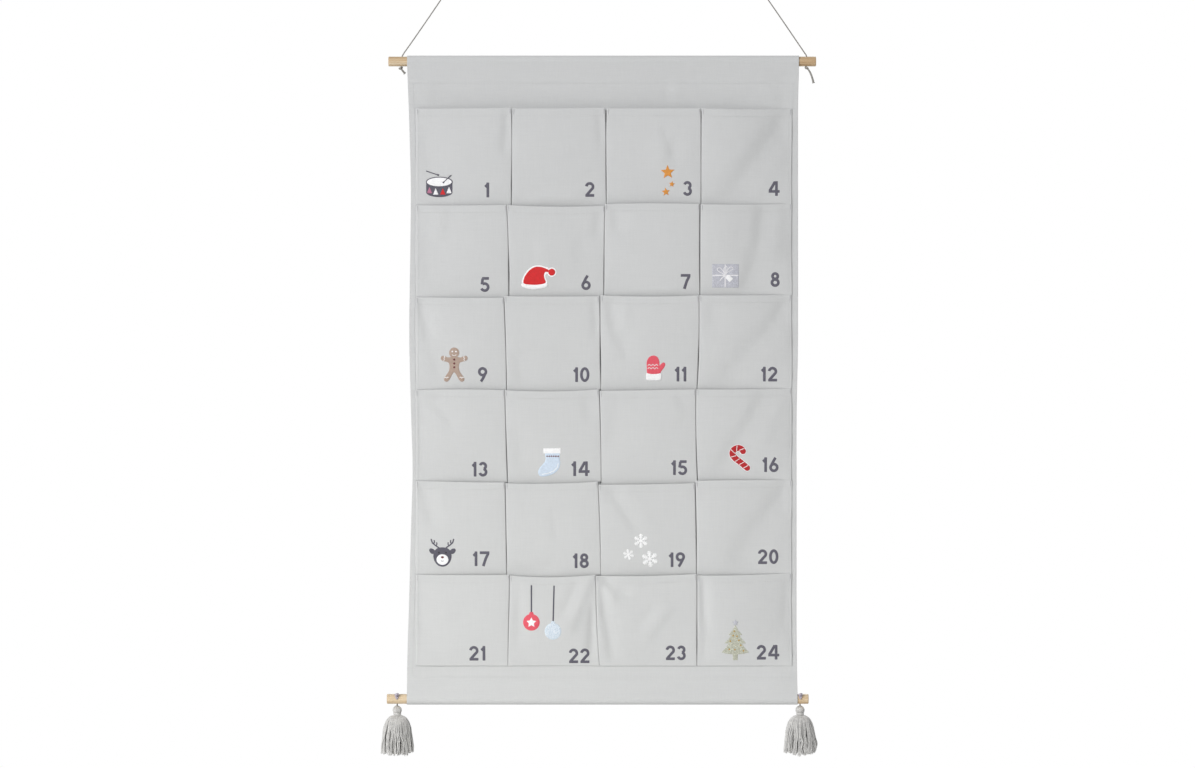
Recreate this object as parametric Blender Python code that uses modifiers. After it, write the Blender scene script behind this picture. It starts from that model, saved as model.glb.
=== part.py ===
"""Fabric advent calendar: a canvas panel with twenty-four patch pockets between two wooden rods.

Metres, +Z up. The front faces -Y and +X is to its right. The origin is the middle of the line
between the two points at which the hanging cord rests on its hooks. Everything hangs below it.
"""

import math

import bmesh
import bpy
import numpy
from mathutils import Matrix, Vector

# Cloth
PANEL_WIDTH = 0.600
EDGE_DRAW = 0.0092
CLOTH = 0.0010
SEAT = 0.0003
TOP_BAND = 0.0727
BOTTOM_BAND = 0.0497
SLEEVE_DROP = 0.0300

# Pockets
ROWS = 6
COLUMNS = 4
STRIP_HEIGHT = 0.8532
ROW_GAP = 0.0010
LEFT_MARGIN = 0.0130
RIGHT_MARGIN = 0.0107
SLOT = 0.0020
MOUTH_DEPTH = 0.0100
FOOT_DEPTH = 0.0036
PLEAT = 0.0040
BOTTOM_TURN = 0.0030
HEM_SAG = 0.0018
CROWN = 0.0016
FOLD_HEIGHT = 0.0022
FOLD_WIDTH = 0.0170

# Rods
DOWEL_RADIUS = 0.0075
END_ROUND = 0.0012
TOP_OVERHANG_LEFT = 0.0283
TOP_OVERHANG_RIGHT = 0.0260
BOTTOM_OVERHANG_LEFT = 0.0306
BOTTOM_OVERHANG_RIGHT = 0.0168
LEFT_CORD_HOLE_INSET = 0.0206
RIGHT_CORD_HOLE_INSET = 0.0138
LEFT_TASSEL_HOLE_INSET = 0.0153
HOLE_EASE = 0.0005

# Hanging cord
CORD_RADIUS = 0.0010
HOOK_RISE = 0.1800
CORD_KNOT_RADIUS = 0.0032
KNOT_SHIFT = 0.0015
TAIL_RADIUS = 0.0016

# Tassels
TASSEL_KNOT_RADIUS = 0.0039
LINK_DROP = 0.0030
LINK_LEAD = 0.0025
HEAD_RADIUS = 0.0066
HEAD_HEIGHT = 0.0108
NECK_RADIUS = 0.0046
BINDING_HEIGHT = 0.0030
BINDING_THICKNESS = 0.0014
SKIRT_RADIUS = 0.0262
SKIRT_LENGTH = 0.0630
HEM_HOLLOW = 0.0050
FLUTE_DEPTH = 0.0011

# Angles and counts
TASSEL_HOLE_TILT = math.radians(50)
DOWEL_SIDES = 48
HOLE_SIDES = 12
ARC_STEPS = 14
EDGE_STATIONS = 16
POCKET_ACROSS = 6
POCKET_DOWN = 6
FLUTES = 16
RING_STEPS = 2 * FLUTES
ROUTE_STEPS = 3
LINK_STEPS = 10
BINDING_TURNS = 3
END_STEPS = 3

# Where the pocket seams stand across the strip, row by row
COLUMN_SHARES = (
    (0.0, 0.256, 0.509, 0.761, 1.0),
    (0.0, 0.248, 0.503, 0.758, 1.0),
    (0.0, 0.242, 0.493, 0.753, 1.0),
    (0.0, 0.242, 0.490, 0.750, 1.0),
    (0.0, 0.243, 0.490, 0.746, 1.0),
    (0.0, 0.248, 0.486, 0.746, 1.0),
)
# Where the mouth of each row stands down the strip, and the end of the last row
ROW_SHARES = (0.0, 0.1737, 0.3375, 0.5049, 0.6706, 0.8373, 1.0)
# How far each side edge draws in: height down the panel, share of the deepest draw
LEFT_EDGE_SHARES = (
    (0.0, 0.0),
    (0.08, 0.33),
    (0.20, 0.67),
    (0.33, 0.50),
    (0.43, 0.33),
    (0.55, 0.67),
    (0.64, 1.0),
    (0.73, 0.67),
    (0.85, 0.33),
    (0.95, 0.0),
)
RIGHT_EDGE_SHARES = ((0.0, 0.0), (0.06, 0.17), (0.45, 0.17), (0.55, 0.42), (0.90, 0.42), (1.0, 0.25))
# A pocket stays open down most of its height, then closes to its bottom fold
POCKET_CLOSE_POWER_SHARE = 2.4
# The diagonal fold of a pocket in the last column runs from the first place to the second
FOLD_START_SHARES = (1.0, 0.05)
FOLD_END_SHARES = (0.38, 0.95)
# The skirt's outline: depth below its shoulder, radius
SKIRT_SHARES = (
    (0.0, 0.24),
    (0.03, 0.42),
    (0.08, 0.61),
    (0.18, 0.74),
    (0.45, 0.86),
    (0.75, 0.94),
    (1.0, 1.0),
)
HEAD_STEPS = 6
TIP_SHARE = 0.3
HEAD_NECK_SHARE = 0.62

# Route of the hanging cord from the left hole's lower mouth to the right one's
CORD_ROUTE = (
    (-0.3077, 0.0, -0.1875),
    (-0.3077, 0.0, -0.1810),
    (-0.3077, 0.0, -0.1740),
    (-0.3068, 0.0, -0.1708),
    (-0.3045, 0.0, -0.1670),
    (-0.2930, 0.0, -0.1508),
    (-0.2656, 0.0, -0.1112),
    (-0.2302, 0.0, -0.0590),
    (-0.2045, 0.0, -0.0206),
    (-0.1974, 0.0, -0.0100),
    (-0.1926, 0.0, -0.0036),
    (-0.1872, 0.0, -0.0006),
    (-0.1800, 0.0, 0.0000),
    (-0.1200, 0.0, -0.0010),
    (0.0000, 0.0, -0.0018),
    (0.1200, 0.0, -0.0010),
    (0.1820, 0.0, 0.0000),
    (0.1894, 0.0, -0.0006),
    (0.1950, 0.0, -0.0036),
    (0.2000, 0.0, -0.0098),
    (0.2078, 0.0, -0.0210),
    (0.2342, 0.0, -0.0590),
    (0.2706, 0.0, -0.1112),
    (0.2976, 0.0, -0.1508),
    (0.3088, 0.0, -0.1672),
    (0.3113, 0.0, -0.1710),
    (0.3122, 0.0, -0.1742),
    (0.3122, 0.0, -0.1810),
    (0.3122, 0.0, -0.1875),
)
# Each knot's tail, from the middle of the knot
LEFT_TAIL_ROUTE = (
    (0.0, 0.0, 0.0),
    (0.0012, -0.0006, -0.0030),
    (0.0032, -0.0008, -0.0066),
    (0.0058, -0.0006, -0.0104),
)
RIGHT_TAIL_ROUTE = (
    (0.0, 0.0, 0.0),
    (0.0024, -0.0006, -0.0044),
    (0.0060, -0.0008, -0.0110),
    (0.0088, -0.0006, -0.0170),
    (0.0112, 0.0, -0.0226),
)

# Derived heights and places
TOP_AXIS_Z = -HOOK_RISE
FIRST_MOUTH_Z = TOP_AXIS_Z - TOP_BAND
BOTTOM_AXIS_Z = FIRST_MOUTH_Z - STRIP_HEIGHT - BOTTOM_BAND
PANEL_HALF = PANEL_WIDTH / 2
FACE_Y = CLOTH / 2
FOOT_Y = FACE_Y + SEAT
SLEEVE_RADIUS = DOWEL_RADIUS + SEAT
SLEEVE_LEAN = math.asin(SLEEVE_RADIUS / SLEEVE_DROP)
STRIP_LEFT = LEFT_MARGIN - PANEL_HALF
STRIP_WIDTH = PANEL_WIDTH - LEFT_MARGIN - RIGHT_MARGIN
HOLE_RADIUS = CORD_RADIUS + HOLE_EASE

# Colours as seen: sRGB shares turned into linear ones by material()
CANVAS_COLOUR = (0.80, 0.81, 0.81)
WOOD_COLOUR = (0.85, 0.74, 0.60)
CORD_COLOUR = (0.62, 0.61, 0.59)
YARN_COLOUR = (0.72, 0.72, 0.71)


def clear_scene():
    for obj in list(bpy.data.objects):
        bpy.data.objects.remove(obj, do_unlink=True)


def collection(name):
    found = bpy.data.collections.new(name)
    bpy.context.scene.collection.children.link(found)
    return found


def linear(channel):
    return channel / 12.92 if channel <= 0.04045 else ((channel + 0.055) / 1.055) ** 2.4


def material(name, colour, roughness):
    made = bpy.data.materials.new(name)
    made.use_nodes = True
    shader = made.node_tree.nodes["Principled BSDF"]
    shader.inputs["Base Color"].default_value = (*map(linear, colour), 1.0)
    shader.inputs["Roughness"].default_value = roughness
    shader.inputs["Metallic"].default_value = 0.0
    return made


def finish(obj, name, parts, colour, roughness, smooth_angle=40):
    """Names the object, files it with the parts and gives it its own material."""
    obj.name = name
    obj.data.name = name
    for holder in list(obj.users_collection):
        holder.objects.unlink(obj)
    parts.objects.link(obj)
    obj.data.materials.clear()
    obj.data.materials.append(material(name, colour, roughness))
    if obj.type == "MESH":
        obj.data.shade_smooth()
        obj.data.set_sharp_from_angle(angle=math.radians(smooth_angle))
    return obj


def pivot(name, place):
    """An empty on a joint's axis, which carries the pieces that turn or slide with it."""
    empty = bpy.data.objects.new(name, None)
    bpy.context.scene.collection.objects.link(empty)
    empty.empty_display_size = DOWEL_RADIUS
    empty.location = place
    return empty


def hang(obj, empty):
    obj.parent = empty
    obj.matrix_parent_inverse = Matrix.Translation(-world_place(empty))


def world_place(empty):
    place = Vector(empty.location)
    return place + world_place(empty.parent) if empty.parent else place


def carry(empty, parent):
    """Parents one pivot to another and keeps its place in the world."""
    place = Vector(empty.location)
    empty.parent = parent
    empty.location = place - world_place(parent)


def mesh_object(name, mesh):
    obj = bpy.data.objects.new(name, mesh)
    bpy.context.scene.collection.objects.link(obj)
    return obj


def to_mesh(obj, weld):
    """Replaces a curve, or a mesh with modifiers, by the plain mesh that it evaluates to, welded."""
    bpy.context.view_layer.update()
    evaluated = obj.evaluated_get(bpy.context.evaluated_depsgraph_get())
    made = mesh_object(obj.name, bpy.data.meshes.new_from_object(evaluated))
    made.matrix_world = obj.matrix_world.copy()
    bpy.data.objects.remove(obj, do_unlink=True)
    shape = bmesh.new()
    shape.from_mesh(made.data)
    bmesh.ops.remove_doubles(shape, verts=shape.verts, dist=weld)
    bmesh.ops.recalc_face_normals(shape, faces=shape.faces)
    shape.to_mesh(made.data)
    shape.free()
    return made


def boolean(obj, cutters, cutter, operation):
    cutter.hide_render = True
    cutter.display_type = "WIRE"
    for holder in list(cutter.users_collection):
        holder.objects.unlink(cutter)
    cutters.objects.link(cutter)
    cut = obj.modifiers.new(cutter.name, "BOOLEAN")
    cut.operation = operation
    cut.solver = "EXACT"
    cut.object = cutter


def cylinder(name, radius, length, sides, place, direction):
    bpy.ops.mesh.primitive_cylinder_add(vertices=sides, radius=radius, depth=length, location=place)
    obj = bpy.context.object
    obj.name = name
    obj.rotation_euler = Vector(direction).to_track_quat("Z", "Y").to_euler()
    return obj


def smooth_route(points, steps):
    """A centripetal Catmull-Rom curve through the points, each span split into equal steps."""
    points = [Vector(p) for p in points]
    ends = [2 * points[0] - points[1], *points, 2 * points[-1] - points[-2]]
    route = [points[0]]
    for before, start, end, after in zip(ends, ends[1:], ends[2:], ends[3:]):
        first = math.sqrt((start - before).length)
        second = first + math.sqrt((end - start).length)
        third = second + math.sqrt((after - end).length)
        for step in range(1, steps + 1):
            t = first + (second - first) * step / steps
            a = before.lerp(start, t / first)
            b = start.lerp(end, (t - first) / (second - first))
            c = end.lerp(after, (t - second) / (third - second))
            d = a.lerp(b, t / second)
            e = b.lerp(c, (t - first) / (third - first))
            route.append(d.lerp(e, (t - first) / (second - first)))
    return route


def tube(name, route, radius, width_shares=None):
    data = bpy.data.curves.new(name, "CURVE")
    data.dimensions = "3D"
    data.bevel_depth = radius
    data.bevel_resolution = 2
    data.use_fill_caps = True
    spline = data.splines.new("POLY")
    spline.points.add(len(route) - 1)
    for point, place, share in zip(spline.points, route, width_shares or [1] * len(route)):
        point.co = (*place, 1.0)
        point.radius = share
    obj = bpy.data.objects.new(name, data)
    bpy.context.scene.collection.objects.link(obj)
    return obj


def ball(name, place, radius):
    bpy.ops.mesh.primitive_uv_sphere_add(segments=12, ring_count=8, radius=radius, location=place)
    obj = bpy.context.object
    obj.name = name
    return obj


def turned(name, profile, steps):
    """A Screw of the profile, given as (radius, height) down its outer side, about the local Z axis."""
    data = bpy.data.meshes.new(name)
    obj = mesh_object(name, data)
    shape = bmesh.new()
    corners = [shape.verts.new((radius, 0, height)) for radius, height in profile]
    for upper, lower in zip(corners, corners[1:]):
        shape.edges.new((upper, lower))
    if profile[0][0] > 0:
        shape.edges.new((corners[-1], corners[0]))
    shape.to_mesh(data)
    shape.free()
    screw = obj.modifiers.new("turn", "SCREW")
    screw.steps = steps
    screw.render_steps = steps
    screw.use_merge_vertices = True
    screw.merge_threshold = SEAT / 10
    return obj


def edge_x(side, height):
    """The panel's side edge at a height: the cloth draws in between the two rods."""
    down = (TOP_AXIS_Z - height) / (TOP_AXIS_Z - BOTTOM_AXIS_Z)
    shares = LEFT_EDGE_SHARES if side < 0 else RIGHT_EDGE_SHARES
    return side * (PANEL_HALF - EDGE_DRAW * float(numpy.interp(down, *zip(*shares))))


def sleeve_arc(radius, axis_z, upright):
    """Points (y, z) from the back tangent round the rod's far side to the front tangent."""
    sweep = math.pi + 2 * SLEEVE_LEAN
    angles = [sweep * step / ARC_STEPS - SLEEVE_LEAN for step in range(ARC_STEPS + 1)]
    return [(radius * math.cos(a), axis_z + upright * radius * math.sin(a)) for a in angles]


def panel_outlines():
    """The outer outline of the cloth in (y, z), and the hollows of its two sleeves."""
    outer_radius = SLEEVE_RADIUS + CLOTH
    drop = (outer_radius / math.cos(SLEEVE_LEAN) - FACE_Y) / math.tan(SLEEVE_LEAN)
    upper, lower = TOP_AXIS_Z - drop, BOTTOM_AXIS_Z + drop
    heights = [upper + (lower - upper) * step / EDGE_STATIONS for step in range(EDGE_STATIONS + 1)]
    outer = sleeve_arc(outer_radius, TOP_AXIS_Z, 1)
    outer += [(-FACE_Y, height) for height in heights]
    outer += sleeve_arc(outer_radius, BOTTOM_AXIS_Z, -1)[::-1]
    outer += [(FACE_Y, height) for height in reversed(heights)]
    top_hollow = sleeve_arc(SLEEVE_RADIUS, TOP_AXIS_Z, 1) + [(0.0, TOP_AXIS_Z - SLEEVE_DROP)]
    bottom_hollow = sleeve_arc(SLEEVE_RADIUS, BOTTOM_AXIS_Z, -1) + [(0.0, BOTTOM_AXIS_Z + SLEEVE_DROP)]
    return outer, top_hollow, bottom_hollow


def backing_panel():
    data = bpy.data.curves.new("backing_panel", "CURVE")
    data.dimensions = "2D"
    data.fill_mode = "BOTH"
    data.extrude = PANEL_HALF
    for outline in panel_outlines():
        spline = data.splines.new("POLY")
        spline.points.add(len(outline) - 1)
        for point, (y, z) in zip(spline.points, outline):
            point.co = (y, z, 0.0, 1.0)
        spline.use_cyclic_u = True
    obj = bpy.data.objects.new("backing_panel", data)
    bpy.context.scene.collection.objects.link(obj)
    panel = to_mesh(obj, SEAT / 10)
    across_is_x = Matrix(((0, 0, 1, 0), (1, 0, 0, 0), (0, 1, 0, 0), (0, 0, 0, 1)))
    panel.data.transform(across_is_x)
    for vertex in panel.data.vertices:
        vertex.co.x = edge_x(math.copysign(1, vertex.co.x), vertex.co.z)
    return panel


def pocket_frame(row, column):
    """The seam lines of a pocket: left, right, mouth and bottom."""
    shares = COLUMN_SHARES[row]
    left = STRIP_LEFT + STRIP_WIDTH * shares[column]
    right = STRIP_LEFT + STRIP_WIDTH * shares[column + 1]
    mouth = FIRST_MOUTH_Z - STRIP_HEIGHT * ROW_SHARES[row]
    bottom = FIRST_MOUTH_Z - STRIP_HEIGHT * ROW_SHARES[row + 1] + ROW_GAP
    return left, right, mouth, bottom


def pocket_depth(down):
    """How far the front stands off the panel at a share of the way down."""
    return FOOT_DEPTH + (MOUTH_DEPTH - FOOT_DEPTH) * (1 - down**POCKET_CLOSE_POWER_SHARE)


def fold_lift(across, down, width, height):
    """The height of the diagonal fold in a pocket of the last column."""
    start = Vector((FOLD_START_SHARES[0] * width, FOLD_START_SHARES[1] * height))
    end = Vector((FOLD_END_SHARES[0] * width, FOLD_END_SHARES[1] * height))
    along = (end - start).normalized()
    offset = Vector((across * width, down * height)) - start
    distance = offset.x * along.y - offset.y * along.x
    return FOLD_HEIGHT * math.exp(-((distance / FOLD_WIDTH) ** 2)) * math.sin(math.pi * across)


def pocket(name, row, column):
    left, right, mouth, bottom = pocket_frame(row, column)
    left, right = left + SLOT / 2, right - SLOT / 2
    columns, rows = POCKET_ACROSS + 2, POCKET_DOWN + 1
    data = bpy.data.meshes.new(name)
    obj = mesh_object(name, data)
    shape = bmesh.new()
    bmesh.ops.create_grid(shape, x_segments=columns, y_segments=rows, size=1)
    for vertex in shape.verts:
        i = round((vertex.co.x + 1) / 2 * columns)
        j = round((1 - vertex.co.y) / 2 * rows)
        across = min(max((i - 1) / POCKET_ACROSS, 0.0), 1.0)
        down = min(j / POCKET_DOWN, 1.0)
        depth = pocket_depth(down)
        x = left + (right - left) * across
        z = mouth - HEM_SAG * math.sin(math.pi * across) * (1 - down)
        z -= (mouth - bottom - BOTTOM_TURN) * down
        lift = CROWN * math.sin(math.pi * across) * math.sin(math.pi * down)
        if column == COLUMNS - 1:
            lift += fold_lift(across, down, right - left, mouth - bottom) * math.sin(math.pi * down)
        y = -FACE_Y - depth - lift
        is_foot = i in (0, columns)
        inward = 1 if i <= 1 else -1
        if is_foot:
            x += inward * PLEAT * depth / MOUTH_DEPTH
            y = -FOOT_Y
        if j == rows:
            x = (left if inward > 0 else right) if is_foot else x
            x += inward * PLEAT * FOOT_DEPTH / MOUTH_DEPTH if i in (1, columns - 1) else 0
            y = -FOOT_Y - CLOTH
            z = bottom
        vertex.co = (x, y, z)
    shape.normal_update()
    if sum(face.normal.y * face.calc_area() for face in shape.faces) > 0:
        bmesh.ops.reverse_faces(shape, faces=shape.faces)
    shape.to_mesh(data)
    shape.free()
    wall = obj.modifiers.new("cloth", "SOLIDIFY")
    wall.thickness = CLOTH
    wall.offset = -1
    wall.use_even_offset = True
    return obj


def dowel(name, left, right, axis_z, holes, cutters):
    """A rod along X with rounded ends, drilled square through its axis: holes are (x, direction)."""
    length = right - left
    rod = cylinder(name, DOWEL_RADIUS, length, DOWEL_SIDES, ((left + right) / 2, 0, axis_z), (1, 0, 0))
    ends = rod.modifiers.new("ends", "BEVEL")
    ends.width = END_ROUND
    ends.segments = END_STEPS
    ends.limit_method = "ANGLE"
    ends.angle_limit = math.radians(60)
    for number, (x, direction) in enumerate(holes, 1):
        drill = cylinder(
            f"{name}_drill_{number}", HOLE_RADIUS, 4 * DOWEL_RADIUS, HOLE_SIDES, (x, 0, axis_z), direction
        )
        boolean(rod, cutters, drill, "DIFFERENCE")
    return rod


def cord_knot(name, hole_x, side, tail_route, cutters):
    """The stopper knot under the top rod, with its tail."""
    centre = Vector((hole_x + side * KNOT_SHIFT, 0, TOP_AXIS_Z - DOWEL_RADIUS - SEAT - CORD_KNOT_RADIUS))
    knot = ball(name, centre, CORD_KNOT_RADIUS)
    route = [centre + Vector(step) for step in tail_route]
    tail = to_mesh(tube(f"{name}_tail", smooth_route(route, ROUTE_STEPS), TAIL_RADIUS), SEAT / 10)
    boolean(knot, cutters, tail, "UNION")
    return knot


def tassel_knot(name, hole_x, cutters):
    """The stopper knot in the upper mouth of a tassel's hole, and its shank through the rod."""
    out = hole_direction()
    axis = Vector((hole_x, 0, BOTTOM_AXIS_Z))
    centre = axis + out * (DOWEL_RADIUS + SEAT + TASSEL_KNOT_RADIUS)
    knot = ball(name, centre, TASSEL_KNOT_RADIUS)
    foot = axis - out * DOWEL_RADIUS
    shank = cylinder(
        f"{name}_shank", CORD_RADIUS, (centre - foot).length, HOLE_SIDES, (centre + foot) / 2, out
    )
    boolean(knot, cutters, shank, "UNION")
    return knot


def hole_direction():
    """Out of the upper, front mouth of a tassel's hole."""
    return Vector((0, -math.sin(TASSEL_HOLE_TILT), math.cos(TASSEL_HOLE_TILT)))


def link_points(hole_x):
    """Upper tip, turning point and lower tip of the short cord below a tassel's hole."""
    start = Vector((hole_x, 0, BOTTOM_AXIS_Z)) - hole_direction() * (DOWEL_RADIUS + SEAT)
    turn = start - hole_direction() * LINK_LEAD
    end = Vector((hole_x, turn.y, BOTTOM_AXIS_Z - DOWEL_RADIUS - LINK_DROP))
    return start, turn, end


def tassel_link(name, hole_x):
    """The short cord, round at both tips about the points that it swings on."""
    start, turn, end = link_points(hole_x)
    ease = [(1 - math.cos(math.pi * step / LINK_STEPS)) / 2 for step in range(LINK_STEPS + 1)]
    route = [start.lerp(turn, t).lerp(turn.lerp(end, t), t) for t in ease]
    shares = []
    for place in route:
        reach = min((place - start).length, (place - end).length, CORD_RADIUS) / CORD_RADIUS
        shares.append(max(math.sqrt(1 - (1 - reach) ** 2), TIP_SHARE))
    return tube(name, route, CORD_RADIUS, shares)


def tassel_head(name, top):
    """A yarn ball, cut off below where the neck is bound."""
    profile = []
    for step in range(HEAD_STEPS + 1):
        angle = math.pi * (1 - HEAD_NECK_SHARE / 4) * step / HEAD_STEPS
        height = (1 - math.cos(angle)) / (1 - math.cos(math.pi * (1 - HEAD_NECK_SHARE / 4)))
        profile.append((HEAD_RADIUS * math.sin(angle), -HEAD_HEIGHT * height))
    profile.append((0.0, -HEAD_HEIGHT))
    head = turned(name, profile, RING_STEPS // 2)
    head.location = top
    return head


def tassel_binding(name, top):
    """The yarn wound round the neck, as a ring with rounded turns."""
    inner = NECK_RADIUS + SEAT
    outer = inner + BINDING_THICKNESS
    profile = [(inner, 0.0)]
    for step in range(2 * BINDING_TURNS + 1):
        radius = outer if step % 2 else outer - BINDING_THICKNESS / BINDING_TURNS
        profile.append((radius, -BINDING_HEIGHT * step / (2 * BINDING_TURNS)))
    profile.append((inner, -BINDING_HEIGHT))
    ring = turned(name, profile, RING_STEPS // 2)
    ring.location = top
    return ring


def tassel_skirt(name, top):
    """The hanging yarn ends: a fluted bell on the stub that the binding holds."""
    shoulder = -BINDING_HEIGHT - 2 * SEAT
    profile = [(0.0, 0.0), (NECK_RADIUS, 0.0), (NECK_RADIUS, shoulder)]
    for down, wide in SKIRT_SHARES:
        profile.append((SKIRT_RADIUS * wide, shoulder - SKIRT_LENGTH * down))
    hem = shoulder - SKIRT_LENGTH
    profile.append((0.0, hem + HEM_HOLLOW))
    skirt = to_mesh(turned(name, profile, RING_STEPS), SEAT / 10)
    for vertex in skirt.data.vertices:
        radius = math.hypot(vertex.co.x, vertex.co.y)
        if radius > NECK_RADIUS and vertex.co.z < shoulder - SEAT:
            growth = FLUTE_DEPTH * radius / SKIRT_RADIUS
            wave = math.cos(FLUTES * math.atan2(vertex.co.y, vertex.co.x))
            vertex.co.xy *= 1 + (wave - 1) * growth / radius
    skirt.location = top
    return skirt


def tassel(side, hole_x, parts, cutters, rail):
    """One tassel's five pieces. Its cord swings front and back, and the tassel sideways below it."""
    start, _, end = link_points(hole_x)
    swing = pivot(f"{side}_tassel_cord_pivot", start - hole_direction() * CORD_RADIUS)
    carry(swing, rail)
    sway = pivot(f"{side}_tassel_pivot", end + Vector((0, 0, CORD_RADIUS)))
    carry(sway, swing)
    name = f"{side}_tassel_knot"
    hang(finish(tassel_knot(name, hole_x, cutters), name, parts, YARN_COLOUR, 0.95), rail)
    name = f"{side}_tassel_cord"
    hang(finish(tassel_link(name, hole_x), name, parts, YARN_COLOUR, 0.95), swing)
    below = Vector((0, 0, SEAT))
    head_top = end - below
    neck_top = head_top - Vector((0, 0, HEAD_HEIGHT)) - below
    makers = (
        ("head", tassel_head, head_top),
        ("binding", tassel_binding, neck_top - below),
        ("skirt", tassel_skirt, neck_top),
    )
    for piece, maker, place in makers:
        name = f"{side}_tassel_{piece}"
        hang(finish(maker(name, place), name, parts, YARN_COLOUR, 0.95), sway)


def build():
    clear_scene()
    parts = collection("fabric_advent_calendar")
    cutters = collection("cutters")

    panel_swing = pivot("panel_pivot", (0, 0, TOP_AXIS_Z))
    rail = pivot("bottom_rail_pivot", (0, 0, BOTTOM_AXIS_Z))
    carry(rail, panel_swing)

    left_end = -PANEL_HALF - TOP_OVERHANG_LEFT
    right_end = PANEL_HALF + TOP_OVERHANG_RIGHT
    left_hole = left_end + LEFT_CORD_HOLE_INSET
    right_hole = right_end - RIGHT_CORD_HOLE_INSET
    upright = (0, 0, 1)
    holes = ((left_hole, upright), (right_hole, upright))
    rod = dowel("top_dowel", left_end, right_end, TOP_AXIS_Z, holes, cutters)
    finish(rod, "top_dowel", parts, WOOD_COLOUR, 0.55)
    cord = tube("hanging_cord", smooth_route(CORD_ROUTE, ROUTE_STEPS), CORD_RADIUS)
    finish(cord, "hanging_cord", parts, CORD_COLOUR, 0.9)
    for side, hole_x, shift, tail in (
        ("left", left_hole, -1, LEFT_TAIL_ROUTE),
        ("right", right_hole, 0, RIGHT_TAIL_ROUTE),
    ):
        knot = cord_knot(f"{side}_cord_knot", hole_x, shift, tail, cutters)
        finish(knot, f"{side}_cord_knot", parts, CORD_COLOUR, 0.9)

    panel = finish(backing_panel(), "backing_panel", parts, CANVAS_COLOUR, 0.9)
    hang(panel, panel_swing)
    for row in range(ROWS):
        for column in range(COLUMNS):
            name = f"pocket_{row * COLUMNS + column + 1:02d}"
            hang(finish(pocket(name, row, column), name, parts, CANVAS_COLOUR, 0.9), panel_swing)

    left_end = -PANEL_HALF - BOTTOM_OVERHANG_LEFT
    right_edge = edge_x(1, BOTTOM_AXIS_Z)
    right_end = right_edge + BOTTOM_OVERHANG_RIGHT
    left_hole = left_end + LEFT_TASSEL_HOLE_INSET
    right_hole = right_edge + SEAT + TASSEL_KNOT_RADIUS
    holes = ((left_hole, hole_direction()), (right_hole, hole_direction()))
    rod = dowel("bottom_dowel", left_end, right_end, BOTTOM_AXIS_Z, holes, cutters)
    hang(finish(rod, "bottom_dowel", parts, WOOD_COLOUR, 0.55), rail)
    tassel("left", left_hole, parts, cutters, rail)
    tassel("right", right_hole, parts, cutters, rail)


build()
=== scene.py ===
"""Looks of a fabric advent calendar: canvas, stitching, ornaments, wood, cord and yarn tassels.

Metres, +Z up. The front faces -Y. The origin is the middle of the line between the cord's hooks.
"""

import math
import random

import bpy
import numpy as np
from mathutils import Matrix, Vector
from mathutils.geometry import delaunay_2d_cdt


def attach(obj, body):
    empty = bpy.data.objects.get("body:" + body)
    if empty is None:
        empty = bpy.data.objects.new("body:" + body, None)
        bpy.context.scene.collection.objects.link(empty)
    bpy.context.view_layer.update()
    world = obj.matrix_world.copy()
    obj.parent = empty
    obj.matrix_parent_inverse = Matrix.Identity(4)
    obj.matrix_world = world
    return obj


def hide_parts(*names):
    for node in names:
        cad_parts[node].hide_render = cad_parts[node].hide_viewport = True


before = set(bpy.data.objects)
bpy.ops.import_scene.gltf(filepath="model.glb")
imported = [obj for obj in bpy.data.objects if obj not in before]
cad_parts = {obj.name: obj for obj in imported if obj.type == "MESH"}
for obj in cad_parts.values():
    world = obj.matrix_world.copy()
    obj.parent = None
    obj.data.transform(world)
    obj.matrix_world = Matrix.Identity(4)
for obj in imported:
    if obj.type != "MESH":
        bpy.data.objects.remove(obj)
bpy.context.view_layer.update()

# Sizes that the part's source has too
TOP_AXIS_Z = -0.1800
BOTTOM_AXIS_Z = -1.1556
PANEL_HALF = 0.3000
EDGE_DRAW = 0.0092
DOWEL_RADIUS = 0.0075
SLEEVE_RADIUS = 0.0078
SLEEVE_DROP = 0.0300
ROWS = 6
COLUMNS = 4
FIRST_MOUTH_Z = -0.2527
STRIP_HEIGHT = 0.8532
POCKET_HEIGHT = 0.1400
STRIP_LEFT = -0.2870
STRIP_WIDTH = 0.5763
MOUTH_DEPTH = 0.0100
FOOT_DEPTH = 0.0036
PLEAT = 0.0040
CROWN = 0.0016
CORD_RADIUS = 0.0010
# Where the pockets of each row begin and end, in shares of the strip's width
COLUMN_SHARES = (
    (0.0, 0.256, 0.509, 0.761, 1.0),
    (0.0, 0.248, 0.503, 0.758, 1.0),
    (0.0, 0.242, 0.493, 0.753, 1.0),
    (0.0, 0.242, 0.490, 0.750, 1.0),
    (0.0, 0.243, 0.490, 0.746, 1.0),
    (0.0, 0.248, 0.486, 0.746, 1.0),
)
# Where the rows begin and end, in shares of the strip's height
ROW_SHARES = (0.0, 0.1737, 0.3375, 0.5049, 0.6706, 0.8373, 1.0)
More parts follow.
